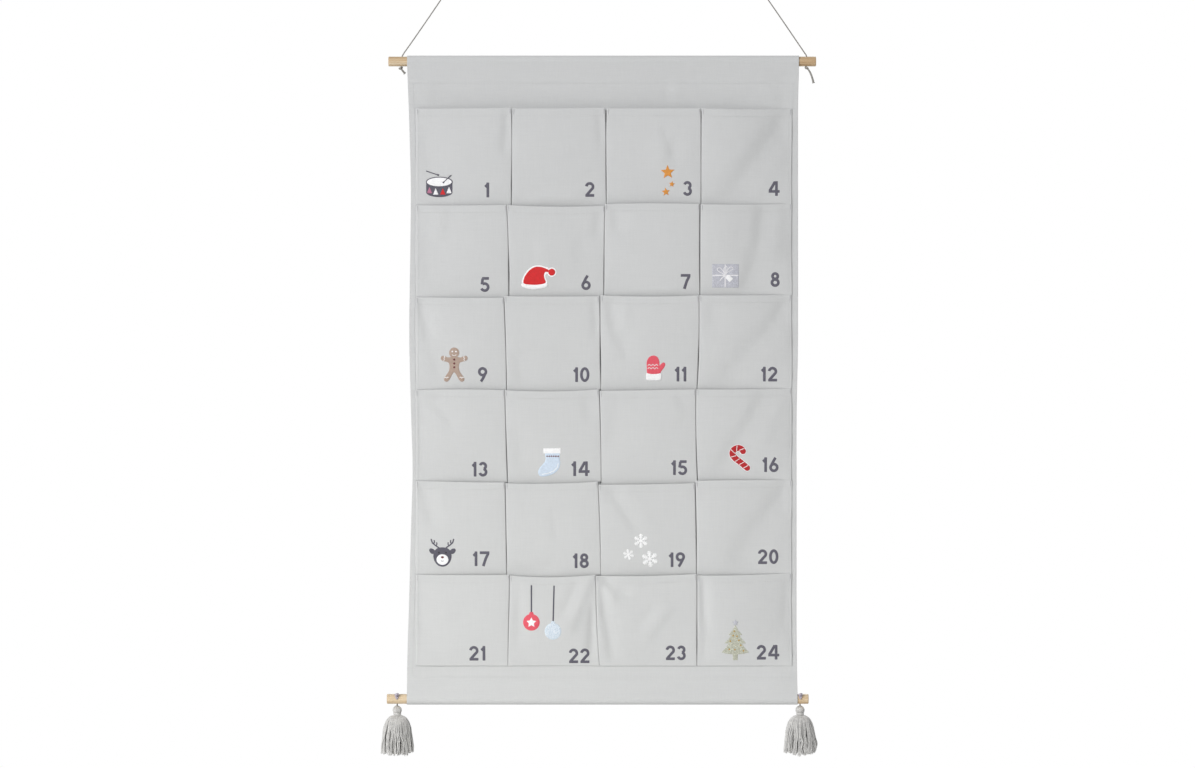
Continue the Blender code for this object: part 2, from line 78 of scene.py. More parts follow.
# Side edges: share of the way down, share of the draw
LEFT_EDGE_SHARES = (
    (0.0, 0.0), (0.08, 0.33), (0.2, 0.67), (0.33, 0.5), (0.43, 0.33), (0.55, 0.67), (0.64, 1.0),
    (0.73, 0.67), (0.85, 0.33), (0.95, 0.0),
)
RIGHT_EDGE_SHARES = ((0.0, 0.0), (0.06, 0.17), (0.45, 0.17), (0.55, 0.42), (0.90, 0.42), (1.0, 0.25))
CORD_ROUTE = (
    (-0.3077, 0.0, -0.1875), (-0.3077, 0.0, -0.1810), (-0.3077, 0.0, -0.1740), (-0.3068, 0.0, -0.1708),
    (-0.3045, 0.0, -0.1670), (-0.2930, 0.0, -0.1508), (-0.2656, 0.0, -0.1112), (-0.2302, 0.0, -0.0590),
    (-0.2045, 0.0, -0.0206), (-0.1974, 0.0, -0.0100), (-0.1926, 0.0, -0.0036), (-0.1872, 0.0, -0.0006),
    (-0.1800, 0.0, 0.0000), (-0.1200, 0.0, -0.0010), (0.0000, 0.0, -0.0018), (0.1200, 0.0, -0.0010),
    (0.1820, 0.0, 0.0000), (0.1894, 0.0, -0.0006), (0.1950, 0.0, -0.0036), (0.2000, 0.0, -0.0098),
    (0.2078, 0.0, -0.0210), (0.2342, 0.0, -0.0590), (0.2706, 0.0, -0.1112), (0.2976, 0.0, -0.1508),
    (0.3088, 0.0, -0.1672), (0.3113, 0.0, -0.1710), (0.3122, 0.0, -0.1742), (0.3122, 0.0, -0.1810),
    (0.3122, 0.0, -0.1875),
)
CORD_PITCH = 0.0052
CORD_KNOT_REACH = 0.0025
CORD_KNOT_STRAND = 0.0012
TAIL_RADIUS = 0.0016
TAIL_PITCH = 0.0075
TAIL_ENDS = 16
TAIL_YARN = 0.00022
# How the tail's strands spread along it: share of its length, share of their reach
TAIL_TAPER = ((0, 0.7), (0.75, 1.0), (1, 1.25))
# Each knot under the top rod: side, centre, turn, and its tail from there
CORD_KNOTS = (
    ("left", (-0.3095, 0.0, -0.1901), 0.5, (
        (0.0000, 0.0000, 0.0004), (0.0014, -0.0010, -0.0022), (0.0034, -0.0012, -0.0048),
        (0.0060, -0.0008, -0.0078),
    )),
    ("right", (0.3118, 0.0, -0.1901), -0.4, (
        (0.0004, 0.0000, -0.0002), (0.0030, -0.0008, -0.0030), (0.0062, -0.0010, -0.0088),
        (0.0086, -0.0008, -0.0158), (0.0104, -0.0002, -0.0222),
    )),
)

# Camera: the photograph's whole frame at the panel, seen from far off
VIEW_CENTRE = (-0.0084, 0.0, -0.6736)
VIEW_WIDTH = 1.8291
CAMERA_DISTANCE = 7.0

# Light and floor
WORLD_LIGHT = 0.36
# Each lamp: place, aim, size, power, spread in degrees, colour
LAMPS = (
    ("key", (-5.0, -5.5, 1.7), (0.0, 0.0, -0.67), 4.6, 408.0, 180.0, (0.985, 0.985, 1.0)),
    ("low", (-0.9, -1.5, -0.95), (-0.1, 0.0, -1.2), 0.5, 0.32, 60.0, (1.0, 1.0, 0.84)),
    ("side", (2.4, -3.4, 0.4), (0.1, 0.0, -0.50), 2.2, 12.0, 180.0, (1.0, 1.0, 0.98)),
    ("rear", (0.4, 3.6, 0.6), (0.0, 0.0, -0.67), 2.0, 45.0, 180.0, (1.0, 1.0, 1.0)),
)
FLOOR_Z = -1.40
FLOOR_FADE = (1.55, 2.1)
FLOOR_RINGS = (0.0, 0.2, 0.5, 1.0, 1.6, 2.4)
WHITE = (1.0, 1.0, 1.0, 1.0)

# Stops of the wood's long grain and of its cut ends
WOOD_GRAIN = (
    (0.30, (172, 138, 100)), (0.42, (200, 172, 134)), (0.52, (217, 195, 162)), (0.66, (231, 215, 188)),
)
WOOD_END = ((0.35, (168, 124, 80)), (0.55, (200, 160, 112)), (0.7, (220, 186, 138)))
# Stitched and felt materials: colour, roughness, tilt of the stitches, and how strongly the stitches are
# painted lighter on their crowns and darker in their grooves
SATINS = {
    "number_thread": ((94, 92, 104), 0.6, None, 0.22),
    "charcoal_felt": ((86, 84, 96), 0.6, 0.5, 0.18),
    "black_felt": ((38, 34, 38), 0.5, 0.9, 0.18),
    "white_felt": ((254, 254, 255), 0.8, 0.7, 0.02),
    "red_felt": ((214, 32, 36), 0.65, 0.8, 0.08),
    "cherry_felt": ((182, 26, 34), 0.65, 0.8, 0.14),
    "rose_felt": ((184, 118, 144), 0.65, 0.6, 0.12),
    "coral_felt": ((230, 88, 104), 0.65, 0.7, 0.08),
    "orange_felt": ((222, 148, 62), 0.5, 1.1, 0.10),
    "ginger_felt": ((178, 156, 142), 0.7, 0.4, 0.06),
    "berry_felt": ((96, 22, 34), 0.5, 0.2, 0.18),
    "ice_felt": ((213, 227, 243), 0.7, 0.9, 0.03),
    "gold_felt": ((186, 152, 66), 0.5, 0.3, 0.12),
    "icing_thread": ((238, 234, 232), 0.5, None, 0.06),
    "ribbon_thread": ((236, 235, 238), 0.5, None, 0.06),
}
# Glitter cloths: colour, colour of the painted glints on their flakes and the share of flakes painted with it
GLITTERS = {
    "silver_glitter": ((184, 185, 194), (214, 215, 224), 0.25),
    "ice_glitter": ((204, 218, 231), (238, 243, 249), 0.33),
    "spruce_glitter": ((176, 177, 160), (226, 228, 214), 0.26),
}

# Cloth
THREAD_PITCH = 0.0009
CLOTH = 0.0010
SEAM_FLAP = 0.0070
HEM_WIDTH = 0.0100
PANEL_SHEET = 0.0009
POCKET_SHEET = 0.0008
LEAN_END_Z = -0.2500
SLEEVE_LEAN = 0.0040
# Long soft buckles of the hanging cloth: height, rates along x and z, phase
DRAPE_WAVES = ((0.0010, 9.5, 3.0, 0.8), (0.0007, 21.0, -7.0, 2.1), (0.0005, 5.0, 13.0, 0.0))
# Steps over which the side edges and the slits are averaged
EDGE_STEPS = (-0.03, -0.015, 0.0, 0.015, 0.03)
SLIT_STEPS = (-0.05, 0.0, 0.05)
# Creases of the bare bands: start x and z, end x and z, width, height
BAND_FOLDS = (
    (0.098, -0.200, 0.096, -0.246, 0.0060, -0.0009),
    (0.110, -0.205, 0.112, -0.250, 0.0080, 0.0007),
    (0.268, -0.200, 0.276, -0.250, 0.0100, -0.0010),
    (-0.262, -0.210, -0.272, -0.250, 0.0090, 0.0008),
    (-0.280, -1.112, -0.215, -1.128, 0.0110, -0.0010),
    (-0.060, -1.110, 0.060, -1.118, 0.0090, 0.0007),
    (0.255, -1.110, 0.285, -1.130, 0.0090, 0.0010),
)
# Height of each row's line at the left, middle and right of each pocket, in mm from its plain level
ROW_LINES = (
    ((0.0, 0.0, 0.8), (0.0, 0.0, 0.8), (0.0, 0.0, 0.0), (0.0, -1.4, 0.0)),
    ((0.0, -0.6, 0.0), (0.0, -2.6, -1.2), (1.2, 2.4, 1.2), (1.2, 0.6, 2.4)),
    ((-0.9, -2.1, -2.1), (0.4, -0.2, 0.4), (1.6, -0.2, 1.6), (1.6, 1.6, 2.8)),
    ((-0.5, 0.7, -0.5), (-0.5, -2.4, 0.7), (-1.7, -0.5, 0.7), (0.7, 0.7, 2.0)),
    ((2.3, 0.5, -0.2), (-1.4, -2.0, 1.1), (-3.6, -3.0, -1.4), (2.3, 3.4, 3.4)),
    ((0.9, 0.4, 0.9), (-0.2, -2.8, 0.9), (-0.6, -0.9, 2.2), (-0.2, 0.4, 3.4)),
    ((0.0, 0.2, 0.0), (0.0, 0.3, 0.0), (-0.3, 0.0, 0.0), (0.0, 0.0, 0.0)),
)
# Each inner seam: how far it leans at its top, middle and foot, and its slit down its height, in mm
SLIT_PLACES = (0.08, 0.20, 0.35, 0.50, 0.65, 0.80, 0.93)
SEAM_LINES = (
    (((0.2, 0.1, -0.6), (0.9, 0.4, 0.15, 0.2, 0.5, 1.4, 0.7)),
     ((-1.7, -1.7, -1.0), (1.9, 0.7, 0.5, 0.7, 0.9, 1.0, 0.4)),
     ((-1.5, -1.5, -1.5), (1.1, 0.5, 0.5, 0.4, 0.25, 0.5, 0.8))),
    (((-3.0, -0.3, 0.2), (0.2, 0.2, 0.2, 0.3, 1.5, 1.7, 1.1)),
     ((0.2, -1.0, -1.4), (0.3, 0.2, 0.25, 0.4, 0.9, 1.1, 0.7)),
     ((-1.4, -1.8, -1.4), (1.3, 1.3, 1.2, 1.4, 1.2, 1.4, 0.8))),
    (((-3.8, -1.2, 0.4), (0.5, 0.55, 0.55, 0.4, 0.2, 0.7, 0.6)),
     ((-1.7, -1.2, -0.2), (1.0, 0.5, 0.6, 1.0, 1.8, 1.35, 0.5)),
     ((0.0, -0.2, -3.0), (0.2, 0.15, 0.1, 0.6, 1.5, 1.1, 0.8))),
    (((-2.5, -0.5, 1.8), (0.4, 0.4, 0.35, 0.7, 1.1, 1.2, 0.8)),
     ((-1.0, 1.2, 2.0), (0.8, 0.7, 0.6, 0.4, 0.35, 0.35, 0.5)),
     ((-2.9, -2.9, -0.2), (0.5, 0.35, 0.3, 0.3, 0.7, 0.85, 0.7))),
    (((-2.6, -1.2, 0.0), (0.75, 0.65, 0.65, 0.5, 0.75, 0.95, 0.7)),
     ((-2.8, 0.0, 1.6), (0.5, 0.5, 0.45, 0.35, 0.25, 0.2, 0.2)),
     ((-2.0, -0.4, 0.4), (0.9, 0.85, 0.9, 1.3, 1.2, 0.7, 0.6))),
    (((1.7, 0.1, -1.4), (0.25, 0.3, 0.5, 0.35, 0.3, 0.2, 0.3)),
     ((-4.0, -2.6, 1.8), (0.25, 0.1, 0.15, 0.25, 0.15, 0.2, 0.3)),
     ((0.9, 0.9, 0.9), (0.5, 0.4, 0.4, 0.7, 1.05, 1.2, 0.7))),
)
LAP = 0.0005
# Folds of each pocket's front: start across and down and end across and down in percent,
# then width and height in tenths of a millimetre
POCKET_FOLDS = {
    1: ((96, 2, 92, 45, 60, -12), (10, 20, 16, 70, 140, -10)),
    2: ((93, 5, 96, 40, 60, -8), (20, 95, 75, 90, 120, 10)),
    3: ((60, 20, 74, 55, 70, -9), (70, 20, 55, 60, 90, 7)),
    4: ((98, 6, 28, 95, 180, -24), (99, 30, 50, 98, 180, 10), (70, 15, 30, 70, 200, 8)),
    5: ((12, 10, 16, 85, 160, -12), (30, 2, 24, 35, 100, 10)),
    6: ((95, 5, 90, 35, 60, -8), (30, 45, 70, 40, 160, 10)),
    7: ((10, 3, 14, 30, 70, -9), (20, 98, 80, 94, 100, 9)),
    8: (
        (70, 0, 66, 45, 130, -24), (66, 45, 48, 98, 130, -20), (84, 2, 80, 60, 140, 14),
        (30, 5, 25, 60, 200, 8),
    ),
    9: ((6, 3, 14, 45, 70, -17), (14, 45, 30, 85, 120, -12)),
    10: ((94, 4, 97, 45, 60, -9), (12, 60, 18, 95, 100, -8)),
    11: ((11, 4, 14, 35, 80, -16), (14, 30, 28, 68, 90, -12), (24, 6, 26, 35, 80, 10)),
    12: (
        (97, 6, 70, 45, 120, -16), (72, 42, 25, 92, 180, -18), (99, 30, 50, 98, 180, 8),
        (16, 6, 12, 35, 100, -10),
    ),
    13: ((16, 8, 44, 40, 90, -12), (5, 5, 7, 90, 100, -10)),
    14: ((12, 40, 16, 80, 100, -7), (85, 5, 90, 35, 70, -7)),
    15: ((20, 10, 12, 60, 140, -9), (70, 6, 85, 30, 100, 7)),
    16: ((74, 2, 54, 45, 130, -18), (54, 42, 22, 90, 130, -14), (88, 10, 66, 60, 140, 10)),
    17: ((8, 4, 20, 45, 100, -16), (26, 4, 30, 35, 100, 9)),
    18: ((52, 30, 52, 60, 90, -6), (10, 96, 55, 90, 60, -9)),
    19: ((10, 3, 40, 50, 90, -15), (26, 4, 50, 42, 110, 8)),
    20: ((99, 3, 70, 45, 160, -18), (72, 42, 42, 92, 220, -22), (99, 40, 70, 92, 160, 8)),
    21: ((6, 10, 10, 80, 120, -9), (45, 30, 55, 55, 120, -6)),
    22: (
        (93, 3, 66, 62, 90, 18), (80, 5, 60, 45, 80, -14), (97, 35, 91, 90, 60, -18),
        (12, 15, 10, 75, 70, -12), (24, 6, 20, 40, 70, 9),
    ),
    23: (
        (5, 2, 8, 45, 50, -20), (8, 40, 14, 92, 60, -16), (3, 2, 20, 30, 50, 14), (4, 2, 32, 20, 60, -12),
        (72, 34, 46, 70, 90, 14), (60, 30, 40, 60, 90, -10),
    ),
    24: ((5, 2, 7, 55, 40, -18), (10, 50, 5, 95, 70, -10), (96, 5, 93, 60, 80, -8)),
}
FOLD_GAIN = 1.5
LAST_FOOT_DEPTH = 0.0016
LEAST_DEPTH = 0.0006
LEFT_FULLNESS = 0.34
RIGHT_FULLNESS = 0.09
MOUTH_SINK = 0.0022
FLANGE = 0.0036
FOOT_RISE = 0.0011
# How gently a front's depth meets its least one, and its face in front of the sheet's middle
DEPTH_EASE = 0.0005
POCKET_FACE = 0.00045
# How near the panel's middle the turned-in foot may come, and its turned end
FOOT_REST = 0.0013
FOOT_TURN_REST = 0.0012
# Rows of the mouth's turned-in hem: share of the way down, distance behind the front
HEM_ROWS = ((0.085, 0.0010), (0.045, 0.0010), (0.010, 0.0010), (-0.002, 0.0006), (-0.0025, 0.0003))

# Stitching: how far its rows stand in front of the panel's middle, or behind it where negative
FACE_STITCH = 0.00055
HEM_BACK_STITCH = -0.00155
BACK_STITCH = -0.00060
# How far the rows lie from the sleeves' feet, the hem's inner edge and the pockets' own seam lines
SLEEVE_SEAM = 0.0035
HEM_SEAM = 0.0018
OUTER_SEAM = 0.0050
FLANGE_SEAM = 0.0065
FOOT_SEAM = 0.0035
MOUTH_SEAM = 0.075  # in shares of a pocket's height
# Bar tacks: rows, the share of a pocket's height between them, half their width and their slant
TACK_ROWS = 7
TACK_STEP = 0.0075
TACK_HALF = 0.0011
TACK_SLANT = 0.0003
# Satin stitching and the numbers
SATIN_STEP = 0.0009
SATIN_PITCH = 0.00055
DIGIT_HEIGHT = 0.0228
DIGIT_STROKE = 0.0043
DIGIT_GAP = 0.10  # in shares of a digit's height
DIGIT_RISE = 0.00055
# Middle and foot of each number, in x and z
NUMBER_PLACES = (
    (-0.1775, -0.3882), (-0.0203, -0.3874), (0.1290, -0.3859), (0.2617, -0.3859),
    (-0.1806, -0.5328), (-0.0260, -0.5297), (0.1263, -0.5282), (0.2633, -0.5252),
    (-0.1841, -0.6706), (-0.0333, -0.6706), (0.1186, -0.6698), (0.2541, -0.6698),
    (-0.1890, -0.8152), (-0.0344, -0.8144), (0.1163, -0.8129), (0.2560, -0.8083),
    (-0.1864, -0.9522), (-0.0341, -0.9552), (0.1129, -0.9537), (0.2525, -0.9491),
    (-0.1921, -1.0968), (-0.0364, -1.1007), (0.1110, -1.0961), (0.2525, -1.0953),
)

# Tassels
HOLE_TILT = math.radians(50)
HEAD_RADIUS = 0.0071
HEAD_HEIGHT = 0.0108
NECK_RADIUS = 0.0046
SKIRT_RADIUS = 0.0262
SKIRT_LENGTH = 0.0630
HOLE_OUT = np.array([0.0, -math.sin(HOLE_TILT), math.cos(HOLE_TILT)])
LINK_Y = math.sin(HOLE_TILT) * 0.0103
HEAD_TOP_Z = BOTTOM_AXIS_Z - DOWEL_RADIUS - 0.0033
NECK_TOP_Z = HEAD_TOP_Z - HEAD_HEIGHT - 0.0003
# The skirt's outline: depth below its shoulder, radius
SKIRT_SHARES = (
    (0.0, 0.24), (0.03, 0.40), (0.08, 0.56), (0.18, 0.71), (0.30, 0.81), (0.45, 0.87), (0.75, 0.95),
    (1.0, 1.0),
)
YARN_RADIUS = 0.00062
HEAD_YARN = 0.0006
CORE_SHARE = 0.88
BINDING_YARN = 0.00055
BINDING_TURNS = 4.6
ROD_KNOT_OUT = 0.0113
ROD_KNOT_REACH = 0.0026
ROD_KNOT_STRAND = 0.00125
LINK_RADIUS = 0.00095
LINK_PITCH = 0.0030
STRANDS = 460
LOCKS = 19
HEAD_STRANDS = 40
# Each tassel: side, x of its hole, seed, bulge, spread of its knot's ends, its parting and its hem's rise
TASSELS = (
    ("left", -0.3153, 5, 0.02, 0.0029, (-math.pi / 2 + 0.27, 0.58, 1.04), (0.04, 0.09)),
    ("right", 0.3019, 9, 0.09, 0.0024, (-math.pi / 2 - 0.07, 0.52, 0.76), (0.11, 0.10)),
)

rng = random.Random(24)


# Curves and meshes


def smooth_route(points, steps):
    """A centripetal Catmull-Rom curve through the points, each span split into equal steps."""
    points = [Vector(p) for p in points]
    ends = [2 * points[0] - points[1], *points, 2 * points[-1] - points[-2]]
    route = [points[0]]
    for before, start, end, after in zip(ends, ends[1:], ends[2:], ends[3:]):
        first = math.sqrt((start - before).length)
        second = first + math.sqrt((end - start).length)
        third = second + math.sqrt((after - end).length)
        for step in range(1, steps + 1):
            t = first + (second - first) * step / steps
            a = before.lerp(start, t / first)
            b = start.lerp(end, (t - first) / (second - first))
            c = end.lerp(after, (t - second) / (third - second))
            d = a.lerp(b, t / second)
            e = b.lerp(c, (t - first) / (third - first))
            route.append(d.lerp(e, (t - first) / (second - first)))
    return np.array([tuple(p) for p in route])


def runs(route):
    """How far along a route each of its points lies."""
    return np.concatenate([[0], np.cumsum(np.linalg.norm(np.diff(route, axis=0), axis=1))])


def along(route, run, marks):
    """The points at the given lengths along a route."""
    return np.stack([np.interp(marks, run, values) for values in np.transpose(route)], axis=1)


def spaced(route, step):
    """The route as points about a step apart along it."""
    route = np.asarray(route, float)
    run = runs(route)
    return along(route, run, np.linspace(0, run[-1], max(2, round(run[-1] / step) + 1)))


def frames(route):
    """Tangents and two cross directions along a route, carried without twist."""
    ahead = np.gradient(route, axis=0)
    ahead /= np.maximum(np.linalg.norm(ahead, axis=1), 1e-12)[:, None]
    seed = np.array([0.0, 1.0, 0.0]) if abs(ahead[0, 1]) < 0.9 else np.array([1.0, 0.0, 0.0])
    across = np.zeros_like(route)
    for i, direction in enumerate(ahead):
        seed = seed - direction * (seed @ direction)
        seed /= np.linalg.norm(seed)
        across[i] = seed
    return ahead, across, np.cross(ahead, across)


def linked(name, data):
    """Data as an object of the scene."""
    obj = bpy.data.objects.new(name, data)
    bpy.context.scene.collection.objects.link(obj)
    return obj


class Heap:
    """Points, faces and places (along, across) of many forms, gathered into one mesh."""

    def __init__(self):
        self.points = []
        self.faces = []
        self.places = []

    def add(self, points, faces, places=None):
        first = len(self.points)
        self.points.extend(tuple(map(float, p)) for p in points)
        self.faces.extend(tuple(first + i for i in face) for face in faces)
        self.places.extend(places if places is not None else [(0.0, 0.0)] * len(points))

    def tube(self, route, radius, sides=6, closed=False):
        """A tube along the route, closed at its ends, with one radius or one for each point."""
        route = np.asarray(route, float)
        radii = np.broadcast_to(np.asarray(radius, float), len(route))
        ahead, across, up = frames(route)
        turns = np.arange(sides) * 2 * math.pi / sides
        ring = np.cos(turns)[:, None, None] * across + np.sin(turns)[:, None, None] * up
        points = (route + ring * radii[:, None]).transpose(1, 0, 2).reshape(-1, 3)
        run = runs(route)
        faces = []
        for i in range(len(route) - (0 if closed else 1)):
            following = (i + 1) % len(route)
            for j in range(sides):
                k = (j + 1) % sides
                faces.append((i * sides + j, following * sides + j, following * sides + k, i * sides + k))
        if not closed:
            faces.append(tuple(range(sides)))
            faces.append(tuple(reversed(range((len(route) - 1) * sides, len(route) * sides))))
        self.add(points, faces, [(run[i], j / sides) for i in range(len(route)) for j in range(sides)])

    def twisted(self, route, radius, pitch, strands=3, sides=5, taper=None):
        """A laid cord: strands wound round the route."""
        route = spaced(route, pitch / 7)
        run = runs(route)
        _, across, up = frames(route)
        reach = np.ones(len(route)) if taper is None else np.interp(run / run[-1], *zip(*taper))
        for strand in range(strands):
            turn = 2 * math.pi * (run / pitch + strand / strands)
            offset = np.cos(turn)[:, None] * across + np.sin(turn)[:, None] * up
            self.tube(route + offset * (0.5 * radius * reach)[:, None], 0.56 * radius, sides)

    def grid(self, points, places=None, close=False):
        """A sheet of quads over points[row][column]."""
        points = np.asarray(points, float)
        rows, columns = points.shape[:2]
        faces = []
        for i in range(rows - 1):
            for j in range(columns if close else columns - 1):
                k = (j + 1) % columns
                faces.append((i * columns + j, (i + 1) * columns + j, (i + 1) * columns + k, i * columns + k))
        if places is not None:
            places = [tuple(p) for p in np.asarray(places).reshape(-1, 2)]
        self.add(points.reshape(-1, 3), faces, places)

    def piece(self, name, material, body, slot, node=None):
        """The heap as one object that rides on a body, in the place of a node where one is named."""
        mesh = bpy.data.meshes.new(name)
        mesh.from_pydata(self.points, [], self.faces)
        layer = mesh.uv_layers.new(name="places")
        corners = np.zeros(len(mesh.loops), int)
        mesh.loops.foreach_get("vertex_index", corners)
        layer.data.foreach_set("uv", np.array(self.places, np.float32)[corners].ravel())
        mesh.update()
        mesh.shade_smooth()
        obj = linked(name, mesh)
        mesh.materials.append(material)
        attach(obj, body)
        if node:
            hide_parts(node)
        return obj


def thicken(obj, thickness):
    wall = obj.modifiers.new("cloth", "SOLIDIFY")
    wall.thickness = thickness
    wall.offset = 0
    return obj


# Materials


def linear(colour):
    """An sRGB colour of 0 to 255 as the linear one that a shader takes."""
    shares = [channel / 255 for channel in colour]
    return tuple(c / 12.92 if c <= 0.04045 else ((c + 0.055) / 1.055) ** 2.4 for c in shares) + (1.0,)


class Surface:
    """A node material round one Principled shader, with short calls for the nodes that feed it."""

    def __init__(self, name, roughness=0.9, sheen=0.0):
        self.material = bpy.data.materials.new(name)
        self.material.use_nodes = True
        self.tree = self.material.node_tree
        self.shader = self.tree.nodes["Principled BSDF"]
        self.shader.inputs["Roughness"].default_value = roughness
        self.shader.inputs["Sheen Weight"].default_value = sheen
        self.shader.inputs["Sheen Roughness"].default_value = 0.5
        self.object = self.node("ShaderNodeTexCoord").outputs["Object"]

    def feed(self, socket, value):
        """Links an output to a socket, or sets the socket's own value."""
        if isinstance(value, bpy.types.NodeSocket):
            self.tree.links.new(value, socket)
        else:
            socket.default_value = value

    def node(self, kind, inputs=None, **settings):
        made = self.tree.nodes.new(kind)
        for key, value in settings.items():
            setattr(made, key, value)
        for key, value in (inputs or {}).items():
            self.feed(made.inputs[key], value)
        return made

    def math(self, operation, first, second=0.0):
        return self.node("ShaderNodeMath", {0: first, 1: second}, operation=operation).outputs[0]

    def times(self, first, second):
        return self.math("MULTIPLY", first, second)

    def plus(self, first, second):
        return self.math("ADD", first, second)

    def axes(self, place=None):
        """The separate coordinates of a place, or of the object's own space."""
        return self.node("ShaderNodeSeparateXYZ", {0: place or self.object}).outputs

    def streaks(self, scale, detail=3.0, roughness=0.55):
        """Noise drawn out by a scale for each axis."""
        place = self.node("ShaderNodeMapping", {"Vector": self.object, "Scale": scale}).outputs[0]
        return self.noise(1.0, place, detail, roughness)

    def noise(self, scale, vector=None, detail=3.0, roughness=0.55):
        inputs = {"Vector": vector or self.object, "Scale": scale, "Detail": detail, "Roughness": roughness}
        return self.node("ShaderNodeTexNoise", inputs).outputs[0]

    def range(self, value, low, high, to_low, to_high):
        inputs = {0: value, 1: low, 2: high, 3: to_low, 4: to_high}
        return self.node("ShaderNodeMapRange", inputs).outputs[0]

    def ramp(self, value, stops):
        made = self.node("ShaderNodeValToRGB", {0: value})
        elements = made.color_ramp.elements
        while len(elements) < len(stops):
            elements.new(0.5)
        for element, (position, colour) in zip(elements, stops):
            element.position = position
            element.color = linear(colour)
        return made.outputs[0]

    def mix(self, factor, first, second, blend="MIX"):
        inputs = {0: factor, 6: first, 7: second}
        return self.node("ShaderNodeMix", inputs, data_type="RGBA", blend_type=blend).outputs[2]

    def shade(self, colour, value):
        """The colour times a grey value."""
        grey = self.node("ShaderNodeCombineColor", {0: value, 1: value, 2: value}).outputs[0]
        return self.mix(1.0, colour, grey, "MULTIPLY")

    def bump(self, height, distance, strength=1.0, before=None):
        inputs = {"Height": height, "Distance": distance, "Strength": strength}
        if before:
            inputs["Normal"] = before
        return self.node("ShaderNodeBump", inputs).outputs[0]

    def close(self, colour, normal=None, roughness=None):
        for name, value in (("Base Color", colour), ("Normal", normal), ("Roughness", roughness)):
            if value is not None:
                self.feed(self.shader.inputs[name], value)
        return self.material


def canvas_material(name, tint):
    """A plain-woven cotton: threads both ways, slubs, soft mottling and fine creasing, with painted shade in
    the gaps between the threads.
    """
    surface = Surface(name, roughness=0.92, sheen=0.12)
    wander = surface.noise(22.0, detail=2.0)
    axes = surface.axes()
    shift = surface.times(wander, 0.004)
    pitch = 2 * math.pi / THREAD_PITCH
    warp = surface.math("SINE", surface.times(surface.plus(axes[0], shift), pitch))
    weft = surface.math("SINE", surface.times(surface.plus(axes[2], shift), pitch))
    weave = surface.times(warp, weft)
    warp_slub = surface.streaks((900.0, 400.0, 30.0), 2.0)
    weft_slub = surface.streaks((30.0, 400.0, 900.0), 2.0)
    slub = surface.plus(warp_slub, weft_slub)
    cloud = surface.noise(9.0)
    crease = surface.noise(60.0, detail=4.0, roughness=0.6)
    tone = surface.range(cloud, 0.3, 0.7, 0.992, 1.008)
    tone = surface.times(tone, surface.range(slub, 0.7, 1.3, 0.980, 1.020))
    # Painted shade: the colour darkens where the weave sinks, in the gaps between the threads
    tone = surface.times(tone, surface.range(weave, -1.0, 1.0, 0.970, 1.025))
    colour = surface.shade(linear(tint), tone)
    normal = surface.bump(crease, 0.0008, 0.22)
    normal = surface.bump(slub, 0.00015, 0.35, normal)
    normal = surface.bump(weave, 0.00010, 0.5, normal)
    return surface.close(colour, normal)


def thread_material(name, tint, sheen=0.3, spread=0.08):
    """Spun yarn: fine fibre streaks and a little fuzz."""
    surface = Surface(name, roughness=0.7, sheen=sheen)
    fibre = surface.noise(2600.0, detail=2.0)
    cloud = surface.noise(140.0, detail=2.0)
    tone = surface.range(surface.plus(fibre, cloud), 0.7, 1.3, 1 - spread, 1 + spread)
    return surface.close(surface.shade(linear(tint), tone), surface.bump(fibre, 0.00015, 0.6))


def satin_material(name, tint, roughness, tilt, spread):
    """Satin stitching: close parallel threads at a tilt, or across their own stroke where it is None, painted
    lighter on their crowns and darker in the grooves between them.
    """
    surface = Surface(name, roughness=roughness, sheen=0.08)
    if tilt is None:
        position = surface.axes(surface.node("ShaderNodeUVMap", uv_map="places").outputs[0])[0]
    else:
        axes = surface.axes()
        sideways = surface.times(axes[0], math.cos(tilt))
        position = surface.plus(sideways, surface.times(axes[2], math.sin(tilt)))
    jitter = surface.times(surface.noise(500.0, detail=1.0), 2.5)
    stitch = surface.math("SINE", surface.plus(surface.times(position, 2 * math.pi / SATIN_PITCH), jitter))
    cloud = surface.noise(320.0, detail=2.0)
    # Painted shade and highlight: the grooves between the stitches are darker and their crowns lighter
    tone = surface.range(stitch, -1.0, 1.0, 1 - spread, 1 + spread)
    tone = surface.times(tone, surface.range(cloud, 0.3, 0.7, 0.93, 1.07))
    return surface.close(surface.shade(linear(tint), tone), surface.bump(stitch, 0.00007, 0.8))


def glitter_material(name, tint, glint_tint, share):
    """Cloth set with small glitter flakes, a share of them painted lighter as glints and some painted darker
    as shade.
    """
    surface = Surface(name, roughness=0.45)
    flakes = surface.node("ShaderNodeTexVoronoi", {"Vector": surface.object, "Scale": 1800.0})
    pick = surface.node("ShaderNodeSeparateColor", {0: flakes.outputs["Color"]}).outputs[0]
    # Painted glints: a share of the flakes gets a lighter colour, as if they caught the light
    glint_mask = surface.range(pick, 1 - share, 1 - share + 0.05, 0.0, 1.0)
    # Painted shade: the darkest flakes are dimmed, as if turned away from the light
    painted_flake_shade = surface.range(pick, 0.0, 0.25, 0.82, 1.0)
    colour = surface.mix(glint_mask, surface.shade(linear(tint), painted_flake_shade), linear(glint_tint))
    return surface.close(colour, surface.bump(pick, 0.0002, 0.7), surface.range(glint_mask, 0.0, 1.0, 0.6, 0.3))


